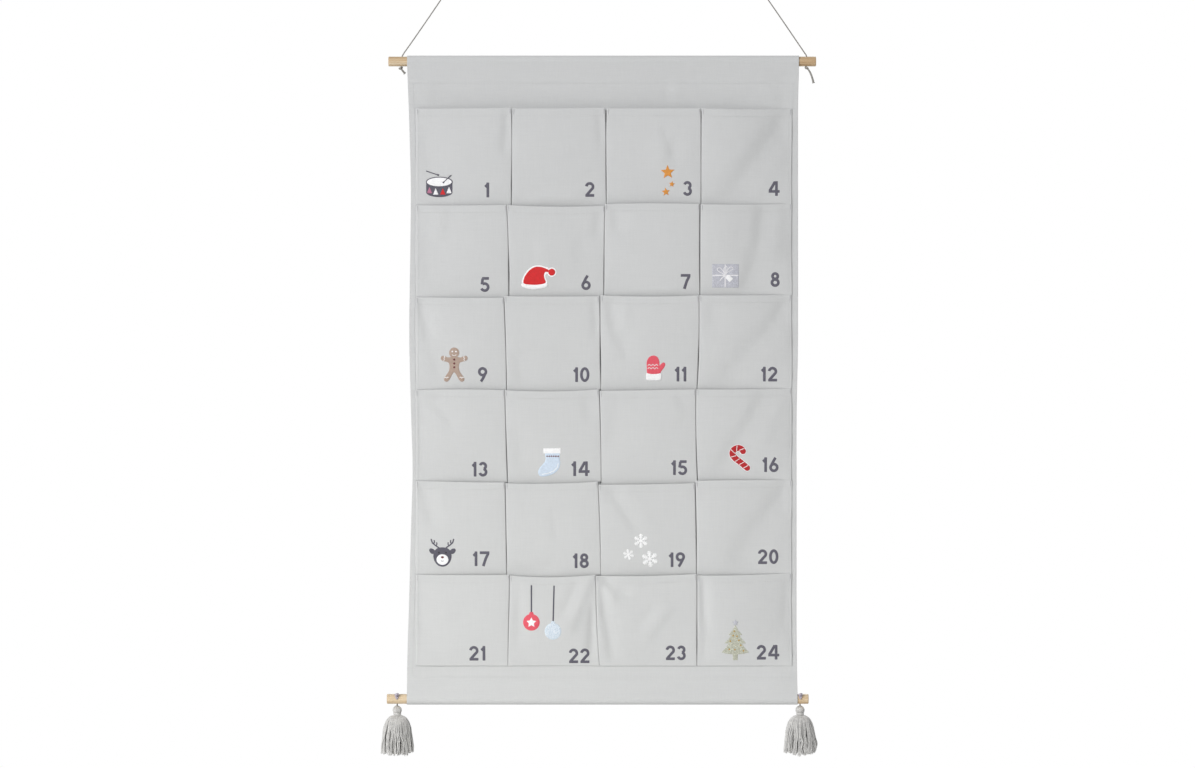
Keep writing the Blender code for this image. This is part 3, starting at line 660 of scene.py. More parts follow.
def wood_material():
    """Planed beech or pine: long grain streaks along the rod, and rings on the cut ends."""
    surface = Surface("wood", roughness=0.5)
    grain = surface.streaks((9.0, 330.0, 330.0), 4.0, 0.6)
    fine = surface.streaks((40.0, 1500.0, 1500.0))
    broad = surface.streaks((6.0, 90.0, 90.0), 2.0)
    blend = surface.plus(surface.times(grain, 0.65), surface.times(broad, 0.35))
    colour = surface.ramp(blend, WOOD_GRAIN)
    colour = surface.shade(colour, surface.range(fine, 0.3, 0.7, 0.9, 1.08))
    facing = surface.axes(surface.node("ShaderNodeNewGeometry").outputs["Normal"])
    at_end = surface.range(surface.math("ABSOLUTE", facing[0]), 0.35, 0.9, 0.0, 1.0)
    rings = surface.streaks((20.0, 420.0, 420.0), 5.0, 0.7)
    colour = surface.mix(at_end, colour, surface.ramp(rings, WOOD_END))
    normal = surface.bump(fine, 0.0002, 0.35)
    return surface.close(colour, normal, surface.range(grain, 0.3, 0.7, 0.58, 0.42))


canvas = canvas_material("canvas", (207, 208, 208))
stitch_thread = thread_material("stitch_thread", (209, 210, 210), 0.2)
tack_thread = thread_material("tack_thread", (198, 199, 201), 0.2)
cord_thread = thread_material("cord_thread", (150, 147, 142), 0.2, 0.14)
yarn = thread_material("yarn", (208, 207, 205), 0.3, 0.18)
yarn_knot = thread_material("yarn_knot", (178, 170, 182), 0.3, 0.1)
# Painted shade: the link cord is coloured dark for the shade it hangs in under and behind the bottom rod
painted_shade_link_thread = thread_material("painted_shade_link_thread", (88, 86, 84), 0.1, 0.12)
wood = wood_material()
DRESS = {name: satin_material(name, *look) for name, look in SATINS.items()}
DRESS.update((name, glitter_material(name, *look)) for name, look in GLITTERS.items())


# Camera, light and ground


def stage():
    scene = bpy.context.scene
    lens = bpy.data.cameras.new("camera")
    lens.sensor_width = 36.0
    lens.lens = lens.sensor_width * CAMERA_DISTANCE / VIEW_WIDTH
    lens.clip_end = 100.0
    camera = linked("camera", lens)
    camera.location = Vector(VIEW_CENTRE) - Vector((0, CAMERA_DISTANCE, 0))
    camera.rotation_euler = (math.radians(90), 0, 0)
    scene.camera = camera
    scene.view_settings.view_transform = "Standard"

    for name, place, target, size, power, spread, colour in LAMPS:
        data = bpy.data.lights.new(name, "AREA")
        data.shape = "DISK"
        data.size = size
        data.energy = power
        data.spread = math.radians(spread)
        data.color = colour
        lamp = linked(name, data)
        lamp.location = place
        lamp.rotation_euler = (Vector(target) - Vector(place)).to_track_quat("-Z", "Y").to_euler()

    world = bpy.data.worlds.new("studio")
    scene.world = world
    world.use_nodes = True
    tree = world.node_tree
    soft, white = tree.nodes["Background"], tree.nodes.new("ShaderNodeBackground")
    for light, strength in ((soft, WORLD_LIGHT), (white, 1.0)):
        light.inputs["Color"].default_value = WHITE
        light.inputs["Strength"].default_value = strength
    choose = tree.nodes.new("ShaderNodeMixShader")
    for socket, source in enumerate((seen_by_eye(tree), soft.outputs[0], white.outputs[0])):
        tree.links.new(source, choose.inputs[socket])
    tree.links.new(choose.outputs[0], tree.nodes["World Output"].inputs["Surface"])

    floor = Heap()
    turns = np.linspace(0, 2 * math.pi, 49)
    floor.grid([[(r * math.cos(a), r * math.sin(a), FLOOR_Z) for a in turns] for r in FLOOR_RINGS])
    mesh = bpy.data.meshes.new("floor")
    mesh.from_pydata(floor.points, [], floor.faces)
    ground = linked("floor", mesh)
    mesh.materials.append(floor_material())


def seen_by_eye(tree):
    """One for rays from the camera and for those seen in gloss or through glass."""
    rays = tree.nodes.new("ShaderNodeLightPath").outputs
    seen = rays["Is Camera Ray"]
    for kind in ("Is Glossy Ray", "Is Transmission Ray"):
        either = tree.nodes.new("ShaderNodeMath")
        either.operation = "MAXIMUM"
        tree.links.new(seen, either.inputs[0])
        tree.links.new(rays[kind], either.inputs[1])
        seen = either.outputs[0]
    return seen


def floor_material():
    """Pale paper that keeps the shadow and fades to white away from the object."""
    surface = Surface("floor_paper", roughness=0.9)
    fibre = surface.noise(60.0)
    surface.close(surface.shade(linear((250, 250, 249)), surface.range(fibre, 0.3, 0.7, 0.99, 1.0)))
    distance = surface.node("ShaderNodeVectorMath", {0: surface.object}, operation="LENGTH").outputs["Value"]
    far = surface.range(distance, *FLOOR_FADE, 0.0, 1.0)
    white = surface.node("ShaderNodeEmission", {"Color": WHITE, "Strength": 1.0})
    fade = surface.times(far, seen_by_eye(surface.tree))
    choose = surface.node("ShaderNodeMixShader", {0: fade, 1: surface.shader.outputs[0], 2: white.outputs[0]})
    surface.feed(surface.tree.nodes["Material Output"].inputs["Surface"], choose.outputs[0])
    return surface.material


stage()


# Hanging cord and its two knots


def hanging_cord():
    route = smooth_route(CORD_ROUTE, 3)
    laid = Heap()
    laid.twisted(route, CORD_RADIUS, CORD_PITCH)
    return laid.piece("cord_laid", cord_thread, "hanger", "cord", "hanging_cord"), route


def knot_route(centre, radius, turn):
    """A closed overhand knot of the given reach about a centre."""
    steps = np.linspace(0, 2 * math.pi, 61)[:-1]
    x = np.sin(steps) + 2 * np.sin(2 * steps)
    y = np.cos(steps) - 2 * np.cos(2 * steps)
    z = -np.sin(3 * steps)
    c, s = math.cos(turn), math.sin(turn)
    shape = np.stack([c * x - s * z, 0.9 * y, s * x + c * z], axis=1)
    return np.asarray(centre) + shape * radius / 3.0


def cord_knots():
    pieces = []
    for side, centre, turn, tail in CORD_KNOTS:
        knot = Heap()
        knot.tube(knot_route(centre, CORD_KNOT_REACH, turn), CORD_KNOT_STRAND, 8, closed=True)
        route = smooth_route(np.asarray(centre) + np.asarray(tail), 5)
        knot.twisted(route, TAIL_RADIUS, TAIL_PITCH, sides=6, taper=TAIL_TAPER)
        ahead, across, up = frames(route)
        for _ in range(TAIL_ENDS):
            turn_share = rng.uniform(0, 2 * math.pi)
            out = across[-1] * math.cos(turn_share) + up[-1] * math.sin(turn_share)
            start = route[-1] + out * rng.uniform(0.0004, 0.0018) - ahead[-1] * 0.0006
            length = rng.uniform(0.0010, 0.0020)
            end = start + (ahead[-1] * 0.9 + out * rng.uniform(0.1, 0.7)) * length
            knot.tube(spaced([start, (start + end) / 2 + out * 0.0001, end], 0.0006), TAIL_YARN, 4)
        node = f"{side}_cord_knot"
        pieces.append(knot.piece(f"{node}_tied", cord_thread, "hanger", "cord", node))
    return pieces


cord, cord_line = hanging_cord()
knots = cord_knots()


# Cloth: shapes that the panel and everything sewn to it share


def edge_x(side, z):
    """The panel's side edge at heights z: the cloth draws in between the two rods."""
    down = (TOP_AXIS_Z - z) / (TOP_AXIS_Z - BOTTOM_AXIS_Z)
    shares = np.array(LEFT_EDGE_SHARES if side < 0 else RIGHT_EDGE_SHARES)
    eased = sum(np.interp(down + step, *shares.T) for step in EDGE_STEPS) / 5
    return side * (PANEL_HALF - EDGE_DRAW * eased)


def drape(x, z):
    """How far the hanging cloth comes forward: at the foot of the top sleeve, and in long soft buckles."""
    down = np.clip((TOP_AXIS_Z - 0.03 - z) / (TOP_AXIS_Z - BOTTOM_AXIS_Z - 0.06), 0, 1)
    free = np.sin(math.pi * down) ** 0.5
    wave = sum(height * np.sin(a * x + b * z + phase) for height, a, b, phase in DRAPE_WAVES)
    near_rod = np.clip((z - LEAN_END_Z) / (TOP_AXIS_Z - SLEEVE_DROP - LEAN_END_Z), 0, 1)
    return free * wave + SLEEVE_LEAN * near_rod * near_rod * (3 - 2 * near_rod)


def profile(offset):
    """The cloth's middle line in (y, z), from the seam behind the top rod to that behind the bottom one."""
    radius = SLEEVE_RADIUS + CLOTH / 2
    lean = math.asin(radius / SLEEVE_DROP)
    sweep = math.pi + 2 * lean
    angles = np.linspace(-lean, sweep - lean, 25)
    turned = np.stack([radius * np.cos(angles), radius * np.sin(angles)], axis=1)
    flap = [(offset, -SLEEVE_DROP - SEAM_FLAP), (offset, -SLEEVE_DROP)]
    back = np.linspace((offset, -SLEEVE_DROP + 0.002), turned[0], 7)[1:-1]
    front = np.linspace(turned[-1], (0.0, -SLEEVE_DROP), 8)[1:]
    top = np.concatenate([flap, back, turned, front])
    bottom = top[::-1] * (1, -1)
    top = top + (0, TOP_AXIS_Z)
    bottom = bottom + (0, BOTTOM_AXIS_Z)
    between = np.linspace(top[-1], bottom[0], 130)[1:-1]
    return np.concatenate([top, between, bottom])


def band_wrinkles(x, z):
    """Small creases in the bare bands above and below the pockets, and along the side hems."""
    rise = np.zeros(np.broadcast(x, z).shape)
    for x0, z0, x1, z1, width, height in BAND_FOLDS:
        rise = rise + ridge(x, z, (x0, z0), (x1, z1), width, height)
    for side in (-1, 1):
        near = np.exp(-(((x - edge_x(side, z)) / 0.010) ** 2))
        rise = rise + near * (0.0004 * np.sin(z * 118 + side) + 0.0002 * np.sin(z * 263 + 2 * side))
    return rise


def ridge(x, z, start, end, width, height):
    """A fold between two points that runs out at both ends: one flank is steep, the other lies flat."""
    run = np.subtract(end, start)
    length = np.linalg.norm(run)
    share = ((x - start[0]) * run[0] + (z - start[1]) * run[1]) / length**2
    away = ((z - start[1]) * run[0] - (x - start[0]) * run[1]) / length
    kept = np.clip(np.minimum(share + 0.2, 1.2 - share) / 0.45, 0, 1)
    ends = kept * kept * (3 - 2 * kept)
    flank = np.where(away * height > 0, width, 2.4 * width)
    return height * ends * np.exp(-((away / flank) ** 2))


def panel():
    section = profile(CLOTH)
    border = np.concatenate([[0.0], np.linspace(0.0013, 0.06, 8)])
    across = np.concatenate([border[:-1], np.linspace(0.06, 0.94, 97), 1 - border[-2::-1]])
    y = section[:, 0][:, None] + 0 * across
    z = section[:, 1][:, None] + 0 * across
    left, right = edge_x(-1, z), edge_x(1, z)
    x = left + (right - left) * across
    hanging = np.clip((SLEEVE_RADIUS - np.abs(y)) / SLEEVE_RADIUS, 0, 1)
    y = y - hanging * (drape(x, z) + band_wrinkles(x, z))
    cloth = Heap()
    cloth.grid(np.stack([x, y, z], axis=2))
    return thicken(cloth.piece("panel_cloth", canvas, "panel", "canvas", "backing_panel"), PANEL_SHEET)


def side_hem(side):
    """The side edge turned to the back."""
    z = np.linspace(TOP_AXIS_Z - SLEEVE_DROP - SEAM_FLAP, BOTTOM_AXIS_Z + SLEEVE_DROP + SEAM_FLAP, 140)
    steps = np.array([0.0002, 0.0020, 0.0050, 0.0080, HEM_WIDTH])
    x = edge_x(side, z)[:, None] - side * steps
    z = z[:, None] + 0 * steps
    y = CLOTH - drape(x, z) - band_wrinkles(x, z)
    cloth = Heap()
    cloth.grid(np.stack([x, y, z], axis=2))
    name = "left_side_hem" if side < 0 else "right_side_hem"
    return thicken(cloth.piece(name, canvas, "panel", "canvas"), PANEL_SHEET)


panel_cloth = panel()
side_hems = [side_hem(-1), side_hem(1)]


# Pockets


def through(values, share):
    """The parabola through three values, at the start, the middle and the end."""
    first, middle, last = (value / 1000 for value in values)
    rise = first * (1 - share) * (1 - 2 * share) + last * share * (2 * share - 1)
    return rise + 4 * middle * share * (1 - share)


def row_line(row, column, across):
    """The height of the line at which a row begins, across one of its pockets."""
    return FIRST_MOUTH_Z - STRIP_HEIGHT * ROW_SHARES[row] + through(ROW_LINES[row][column], across)


def seam_edge(row, boundary, down, side):
    """The x of the pocket edge to the left (-1) or right (1) of a seam at a share of the way down."""
    down = np.asarray(down, float)
    x = STRIP_LEFT + STRIP_WIDTH * COLUMN_SHARES[row][boundary] + 0 * down
    if boundary in (0, COLUMNS):
        return x + side * (0.0006 + 0.0005 * np.sin(down * 5 + row * 1.7 + boundary))
    leans, slits = SEAM_LINES[row][boundary - 1]
    slit = sum(np.interp(down + step, SLIT_PLACES, slits) for step in SLIT_STEPS) / (3 * 1000)
    return x + through(leans, np.clip(down, 0, 1)) + side * slit / 2


def pocket_edges(row, column, down):
    return seam_edge(row, column, down, 1), seam_edge(row, column + 1, down, -1)


def pocket_frame(row, column):
    """The plain seam lines of a pocket: left, right, mouth and bottom."""
    shares = COLUMN_SHARES[row]
    left = STRIP_LEFT + STRIP_WIDTH * shares[column]
    right = STRIP_LEFT + STRIP_WIDTH * shares[column + 1]
    mouth = FIRST_MOUTH_Z - STRIP_HEIGHT * ROW_SHARES[row]
    return left, right, mouth, FIRST_MOUTH_Z - STRIP_HEIGHT * ROW_SHARES[row + 1]


def pocket_depth(row, down):
    """How far a pocket's front stands off the panel at a share of the way down."""
    foot = FOOT_DEPTH if row < ROWS - 1 else LAST_FOOT_DEPTH
    return foot + (MOUTH_DEPTH - foot) * (1 - down**2.4)


def front_z(row, column, across, down):
    """The height of a pocket's front: it laps the foot of the row above by a little."""
    top = row_line(row, column, across) + (LAP if row else 0.0)
    low = row_line(row + 1, column, across) + FOOT_RISE
    return top + (low - top) * down


def front_lift(row, column, across, down):
    """The crown and folds of a pocket's front, in front of its plain depth."""
    left, right, _, _ = pocket_frame(row, column)
    width = right - left
    u = across * width
    v = -down * POCKET_HEIGHT
    lift = CROWN * np.sin(math.pi * across) ** 0.6 * np.sin(math.pi * np.clip(down, 0, 1)) ** 0.8
    lift = lift + 0.0005 * np.sin(math.pi * across) * np.cos(math.pi * down / 2)
    for fold in POCKET_FOLDS[row * COLUMNS + column + 1]:
        a0, d0, a1, d1 = (share / 100 for share in fold[:4])
        start, end = (a0 * width, -d0 * POCKET_HEIGHT), (a1 * width, -d1 * POCKET_HEIGHT)
        lift = lift + FOLD_GAIN * ridge(u, v, start, end, fold[4] / 10000, fold[5] / 10000)
    fade = np.clip(np.minimum(across, 1 - across) / 0.05, 0, 1) * 0.7 + 0.3
    tail = np.clip((1 - down) / 0.08, 0, 1)
    return lift * fade * tail


def fullness(column, across):
    """The share of its depth that a pocket keeps: the outer pockets run down towards the strip's ends."""
    if column == 0:
        least, t = LEFT_FULLNESS, np.clip(across, 0, 1)
    elif column == COLUMNS - 1:
        least, t = RIGHT_FULLNESS, np.clip((1 - across) / 0.90, 0, 1)
    else:
        return 1.0
    return least + (1 - least) * t * (1.5 - 0.5 * t * t)


def front_y(row, column, across, down):
    left, right = pocket_edges(row, column, down)
    x = left + (right - left) * across
    z = front_z(row, column, across, down)
    depth = pocket_depth(row, np.clip(down, 0, 1)) * fullness(column, across)
    spare = depth + front_lift(row, column, across, down) - LEAST_DEPTH
    return -CLOTH / 2 - LEAST_DEPTH - (spare + np.sqrt(spare**2 + DEPTH_EASE**2)) / 2 - drape(x, z)


def on_pocket(number, x, z):
    """The y of a pocket's front face at places x and z."""
    row, column = divmod(number - 1, COLUMNS)
    x, z = np.broadcast_arrays(np.asarray(x, float), np.asarray(z, float))
    down = np.full(x.shape, 0.5)
    for _ in range(3):
        left, right = pocket_edges(row, column, down)
        across = np.clip((x - left) / (right - left), 0, 1)
        top, low = front_z(row, column, across, 0.0), front_z(row, column, across, 1.0)
        down = np.clip((top - z) / (top - low), 0, 1)
    return front_y(row, column, across, down) - POCKET_FACE


def pocket(number):
    """One sheet: flanges sewn to the panel, pleated sides, the front, its turned-in mouth and foot."""
    row, column = divmod(number - 1, COLUMNS)
    shares = np.concatenate([[0.004, 0.012], np.linspace(0.03, 0.97, 37), [0.988, 0.996]])
    downs = np.concatenate([[0.002, 0.012], np.linspace(0.03, 0.965, 34), [0.985, 0.996]])
    sheet = []
    for down, inset in [*HEM_ROWS, *((down, 0.0) for down in downs)]:
        held = np.clip(down, 0, 1)
        left, right = pocket_edges(row, column, held)
        front = front_y(row, column, shares, held) + inset
        z = front_z(row, column, shares, down)
        x = left + (right - left) * shares
        depth = pocket_depth(row, held)
        near_mouth = float(np.clip(1 - down / 0.03, 0, 1))
        line = []
        for side, share in ((0, 0.0), (1, 1.0)):
            inward = 1 - 2 * side
            seam = (left, right)[side]
            height = front_z(row, column, share, down)
            sink = MOUTH_SINK * near_mouth
            tuck = PLEAT * depth * fullness(column, share) / MOUTH_DEPTH
            foot = -CLOTH / 2 - 0.0004 - drape(seam + inward * (tuck + 0.0020), height)
            edge = front_y(row, column, share, held)
            wall = [
                (seam + inward * (tuck + FLANGE), foot, height - sink),
                (seam + inward * (tuck + 0.0004), foot - 0.0001, height - sink),
                (seam + inward * (tuck * 0.9 + inset), foot + (edge - foot) * 0.25, height - sink * 0.8),
                (seam + inward * (tuck * 0.45 + inset), foot + (edge - foot) * 0.6, height - sink * 0.4),
                (seam + inward * (0.0004 + inset), edge + (foot - edge) * 0.12, height),
            ]
            line.append(wall if side == 0 else wall[::-1])
        sheet.append(line[0] + list(zip(x, front, z)) + line[1])
    last = [(x, y, z, -FOOT_REST - drape(x, z)) for x, y, z in sheet[-1]]
    for back, fall in ((0.0003, 0.0005), (0.0010, 0.0008)):
        sheet.append([(x, min(y + back, max(y, rest)), z - fall) for x, y, z, rest in last])
    sheet.append([(x, max(y, rest), z - 0.0007) for x, y, z, rest in last])
    sheet.append([(x, max(y + 0.0003, -FOOT_TURN_REST - drape(x, z)), z + 0.003) for x, y, z, _ in last])
    cloth = Heap()
    cloth.grid(sheet)
    node = f"pocket_{number:02d}"
    return thicken(cloth.piece(f"{node}_cloth", canvas, "panel", "canvas", node), POCKET_SHEET)


pockets = [pocket(number) for number in range(1, ROWS * COLUMNS + 1)]


# Stitching


def stitches(heap, line, pitch=0.0034, radius=0.00026, fill=0.74):
    """A row of separate stitches, each a small bead drawn out along the line."""
    line = np.asarray(line, float)
    run = runs(line)
    count = max(1, round(run[-1] / pitch))
    starts = np.arange(count) * run[-1] / count
    length = run[-1] / count * fill
    turns = np.arange(3) * 2 * math.pi / 3 + math.pi / 2
    for start in starts:
        marks = start + length * np.array([0.0, 0.28, 0.72, 1.0])
        places = along(line, run, marks)
        ahead = places[-1] - places[0]
        ahead /= np.linalg.norm(ahead)
        side = np.cross(ahead, (0.0, 1.0, 0.0))
        side /= max(np.linalg.norm(side), 1e-9)
        up = np.cross(side, ahead)
        rings = [places[i] + radius * (math.cos(t) * side + math.sin(t) * up) for i in (1, 2) for t in turns]
        points = [places[0], *rings, places[3]]
        faces = [(0, 2, 1), (0, 3, 2), (0, 1, 3), (7, 4, 5), (7, 5, 6), (7, 6, 4)]
        faces += [(1, 2, 5, 4), (2, 3, 6, 5), (3, 1, 4, 6)]
        heap.add(points, faces)


def panel_face(x, z, out):
    """Points on the panel, at a distance in front of its middle (behind it where negative)."""
    x, z = np.broadcast_arrays(np.asarray(x, float), np.asarray(z, float))
    return np.stack([x, -out - drape(x, z) - band_wrinkles(x, z), z], axis=1)


def front_row(heap, number, x, z):
    stitches(heap, np.stack([x, on_pocket(number, x, z) - 0.00005, z], axis=1))


def seams():
    front, back = Heap(), Heap()
    steps = np.linspace(0, 1, 40)
    lines = []
    for z in (TOP_AXIS_Z - SLEEVE_DROP - SLEEVE_SEAM, BOTTOM_AXIS_Z + SLEEVE_DROP + SLEEVE_SEAM):
        lines.append((edge_x(-1, z) + 0.002 + (edge_x(1, z) - edge_x(-1, z) - 0.004) * steps, z))
    top, bottom = TOP_AXIS_Z - SLEEVE_DROP - 0.004, BOTTOM_AXIS_Z + SLEEVE_DROP + 0.004
    z = top + (bottom - top) * np.linspace(0, 1, 120)
    lines.extend((edge_x(side, z) - side * (HEM_WIDTH - HEM_SEAM), z) for side in (-1, 1))
    for x, z in lines:
        stitches(front, panel_face(x, z, FACE_STITCH))
        stitches(back, panel_face(x, z, HEM_BACK_STITCH))
    for number in range(1, ROWS * COLUMNS + 1):
        row, column = divmod(number - 1, COLUMNS)
        left, right, mouth, bottom = pocket_frame(row, column)
        across = np.linspace(0.02, 0.98, 24)
        x = left + (right - left) * across
        front_row(front, number, x, front_z(row, column, across, MOUTH_SEAM))
        for outer, side, seam in ((column == 0, 1, left), (column == COLUMNS - 1, -1, right)):
            if outer:
                z = mouth + (bottom - mouth) * np.linspace(0.02, 0.97, 30)
                front_row(front, number, seam + side * OUTER_SEAM + 0 * z, z)
        z = mouth + (bottom - mouth) * np.linspace(0.01, 0.98, 20)
        for seam in (left + FLANGE_SEAM, right - FLANGE_SEAM):
            stitches(back, panel_face(seam, z, BACK_STITCH))
        stitches(back, panel_face(x, bottom + FOOT_SEAM, BACK_STITCH))
    return (
        front.piece("seam_stitches_front", stitch_thread, "panel", "canvas"),
        back.piece("seam_stitches_back", stitch_thread, "panel", "canvas"),
    )


def bar_tacks():
    """Dense short rows of stitches that lock the upper corners of the pockets."""
    tacks = Heap()
    for number in range(1, ROWS * COLUMNS + 1):
        row, column = divmod(number - 1, COLUMNS)
        for across in (0.016, 0.984):
            for step in range(TACK_ROWS):
                down = 0.010 + TACK_STEP * step
                edges = pocket_edges(row, column, down)
                x = float(edges[0] + (edges[1] - edges[0]) * across)
                z = float(front_z(row, column, across, down))
                ends = np.array([x - TACK_HALF, x + TACK_HALF])
                heights = z + np.array([TACK_SLANT, -TACK_SLANT])
                line = np.stack([ends, on_pocket(number, ends, heights) - 0.0002, heights], axis=1)
                stitches(tacks, line, pitch=0.0022, radius=0.00030, fill=1.0)
    return tacks.piece("bar_tacks", tack_thread, "panel", "canvas")


seam_pieces = seams()
tack_piece = bar_tacks()


# Numbers and ornaments: raised satin stitching and felt, laid on the pockets' fronts


def satin(heap, number, path, width, height, closed=False, base=0.0):
    """A raised stroke of stitching along a path of (x, z) on a pocket's front."""
    path = np.array([(x, 0.0, z) for x, z in path], float)
    if closed:
        path = np.concatenate([path, path[:1]])
    path = spaced(path, SATIN_STEP)
    if closed:
        path = path[:-1]
        ahead = np.roll(path, -1, axis=0) - np.roll(path, 1, axis=0)
    else:
        ahead = np.gradient(path, axis=0)
    ahead /= np.maximum(np.linalg.norm(ahead, axis=1), 1e-12)[:, None]
    side = np.stack([-ahead[:, 2], ahead[:, 0]], axis=1)
    shares = np.array([-1.0, -0.86, -0.5, 0.0, 0.5, 0.86, 1.0])
    swell = np.array([0.0, 0.62, 0.92, 1.0, 0.92, 0.62, 0.0])
    ends = np.ones(len(path))
    if not closed:
        ends[0] = ends[-1] = 0.0
    rows, places, run = [], [], 0.0
    for i, (x, _, z) in enumerate(path):
        run += 0.0 if i == 0 else float(np.linalg.norm(path[i] - path[i - 1]))
        across = shares * width / 2
        xs, zs = x + side[i, 0] * across, z + side[i, 1] * across
        ys = on_pocket(number, xs, zs) - base - height * swell * ends[i] + 0.0001
        rows.append(np.stack([xs, ys, zs], axis=1))
        places.append([(run, share * width / 2) for share in shares])
    if closed:
        rows.append(rows[0])
        places.append([(run + SATIN_STEP, share * width / 2) for share in shares])
    heap.grid(rows, places)


def inside(points, outline):
    """Which points lie within a closed outline."""
    x, y = points[:, 0], points[:, 1]
    found = np.zeros(len(points), bool)
    for (x0, y0), (x1, y1) in zip(outline, np.roll(outline, -1, axis=0)):
        crosses = (y0 > y) != (y1 > y)
        at = x0 + (y - y0) / (y1 - y0 if y1 != y0 else 1e-12) * (x1 - x0)
        found ^= crosses & (x < at)
    return found


def edge_distance(points, outline):
    """How far each point is from a closed outline."""
    best = np.full(len(points), np.inf)
    for start, end in zip(outline, np.roll(outline, -1, axis=0)):
        run = end - start
        t = np.clip(((points - start) @ run) / max(run @ run, 1e-15), 0, 1)
        best = np.minimum(best, np.linalg.norm(points - start - t[:, None] * run, axis=1))
    return best


def felt(heap, number, outline, height, border=0.0009, base=0.0, cell=0.0014):
    """A patch with a rounded rim on a pocket's front, inside an outline of (x, z)."""
    outline = np.asarray(outline, float)
    ring = np.array([(x, 0.0, z) for x, z in np.concatenate([outline, outline[:1]])])
    outline = spaced(ring, cell * 0.8)[:-1][:, [0, 2]]
    low, high = outline.min(axis=0), outline.max(axis=0)
    columns = np.arange(low[0], high[0], cell)
    lines = np.arange(low[1], high[1], cell * 0.87)
    mesh = np.array([(x + (cell / 2 if j % 2 else 0), z) for j, z in enumerate(lines) for x in columns])
    mesh = mesh[inside(mesh, outline)]
    mesh = mesh[edge_distance(mesh, outline) > cell * 0.55]
    centre = outline.mean(axis=0)
    inner = []
    for before, place, after in zip(np.roll(outline, 1, axis=0), outline, np.roll(outline, -1, axis=0)):
        run = after - before
        inward = np.array([-run[1], run[0]]) / max(np.linalg.norm(run), 1e-12)
        for share in (0.25, 0.6):
            inner.append(place + inward * border * share)
    inner = np.array(inner)
    if not inside(inner[:2], outline).all():
        inner = 2 * np.repeat(outline, 2, axis=0) - inner
    inner = inner[inside(inner, outline)]
    points = np.concatenate([outline, inner, mesh])
    count = len(outline)
    edges = [(i, (i + 1) % count) for i in range(count)]
    flat, _, triangles, *_ = delaunay_2d_cdt([Vector(p) for p in points], edges, [], 1, 1e-7)
    flat = np.array([tuple(p) for p in flat])
    depth = np.clip(edge_distance(flat, outline) / border, 0, 1)
    rise = height * np.sqrt(np.clip(1 - (1 - depth) ** 2, 0, 1))
    y = on_pocket(number, flat[:, 0], flat[:, 1]) - base - rise + 0.00005
    heap.add(np.stack([flat[:, 0], y, flat[:, 1]], axis=1), triangles, [tuple(p - centre) for p in flat])


def arc(x, z, radius, start, end, steps=16, squash=1.0):
    """Points on a circle or ellipse, with its angles in degrees from +X."""
    turns = np.radians(np.linspace(start, end, steps))
    return [(x + radius * math.cos(t), z + radius * squash * math.sin(t)) for t in turns]


def ellipse(x, z, radius, squash=1.0, steps=36):
    return arc(x, z, radius, 0, 360 - 360 / steps, steps, squash)


def star(x, z, radius, inner=0.42, turn=0.0):
    points = []
    for i in range(10):
        t = math.radians(90 + turn + 36 * i)
        reach = radius if i % 2 == 0 else radius * inner
        points.append((x + reach * math.cos(t), z + reach * math.sin(t)))
    return points


def flat_route(points, steps):
    """A smooth route through points of (x, z)."""
    return smooth_route([(x, 0.0, z) for x, z in points], steps)[:, [0, 2]]


def rounded(points, steps=4):
    """A smooth closed outline through the points."""
    route = flat_route([*points[-2:], *points, *points[:2]], steps)
    return [(x, z) for x, z in route[2 * steps : (len(points) + 2) * steps]]


def moved(points, x, z, scale=0.001, turn=0.0):
    """Points in millimetres about an ornament's own centre, put in their place."""
    c, s = math.cos(turn), math.sin(turn)
    return [(x + scale * (c * px - s * pz), z + scale * (s * px + c * pz)) for px, pz in points]


# Each digit in shares of its height: its width, its rings and its open strokes
DIGITS = {
    "0": (0.64, [ellipse(0.32, 0.5, 0.225, 1.80, 40)], []),
    "1": (0.37, [], [[(0.245, 0.995), (0.245, 0.0)], [(0.06, 0.70), (0.14, 0.765), (0.235, 0.865)]]),
    "2": (0.66, [], [
        arc(0.325, 0.675, 0.225, 175, -28, 18) + [(0.40, 0.44), (0.13, 0.125)],
        [(0.03, 0.095), (0.64, 0.095)],
    ]),
    "3": (0.60, [], [arc(0.30, 0.705, 0.195, 165, -75, 16), arc(0.30, 0.305, 0.215, 80, -165, 20)]),
    "4": (0.80, [], [
        [(0.47, 0.96), (0.10, 0.33)], [(0.03, 0.305), (0.78, 0.305)], [(0.56, 0.995), (0.56, 0.0)],
    ]),
    "5": (0.64, [], [
        [(0.13, 0.905), (0.60, 0.905)], [(0.17, 0.90), (0.12, 0.50)], arc(0.305, 0.325, 0.235, 128, -158, 22),
    ]),
    "6": (0.66, [ellipse(0.33, 0.31, 0.225, 1.0, 32)], [
        [(0.44, 0.97), (0.30, 0.74), (0.18, 0.50), (0.115, 0.36)],
    ]),
    "7": (0.70, [], [[(0.02, 0.905), (0.68, 0.905)], [(0.60, 0.87), (0.42, 0.50), (0.26, 0.0)]]),
    "8": (0.64, [ellipse(0.32, 0.725, 0.180, 1.0, 28), ellipse(0.32, 0.300, 0.215, 0.95, 32)], []),
    "9": (0.66, [ellipse(0.33, 0.69, 0.225, 1.0, 32)], [
        [(0.22, 0.03), (0.36, 0.26), (0.48, 0.50), (0.545, 0.64)],
    ]),
}


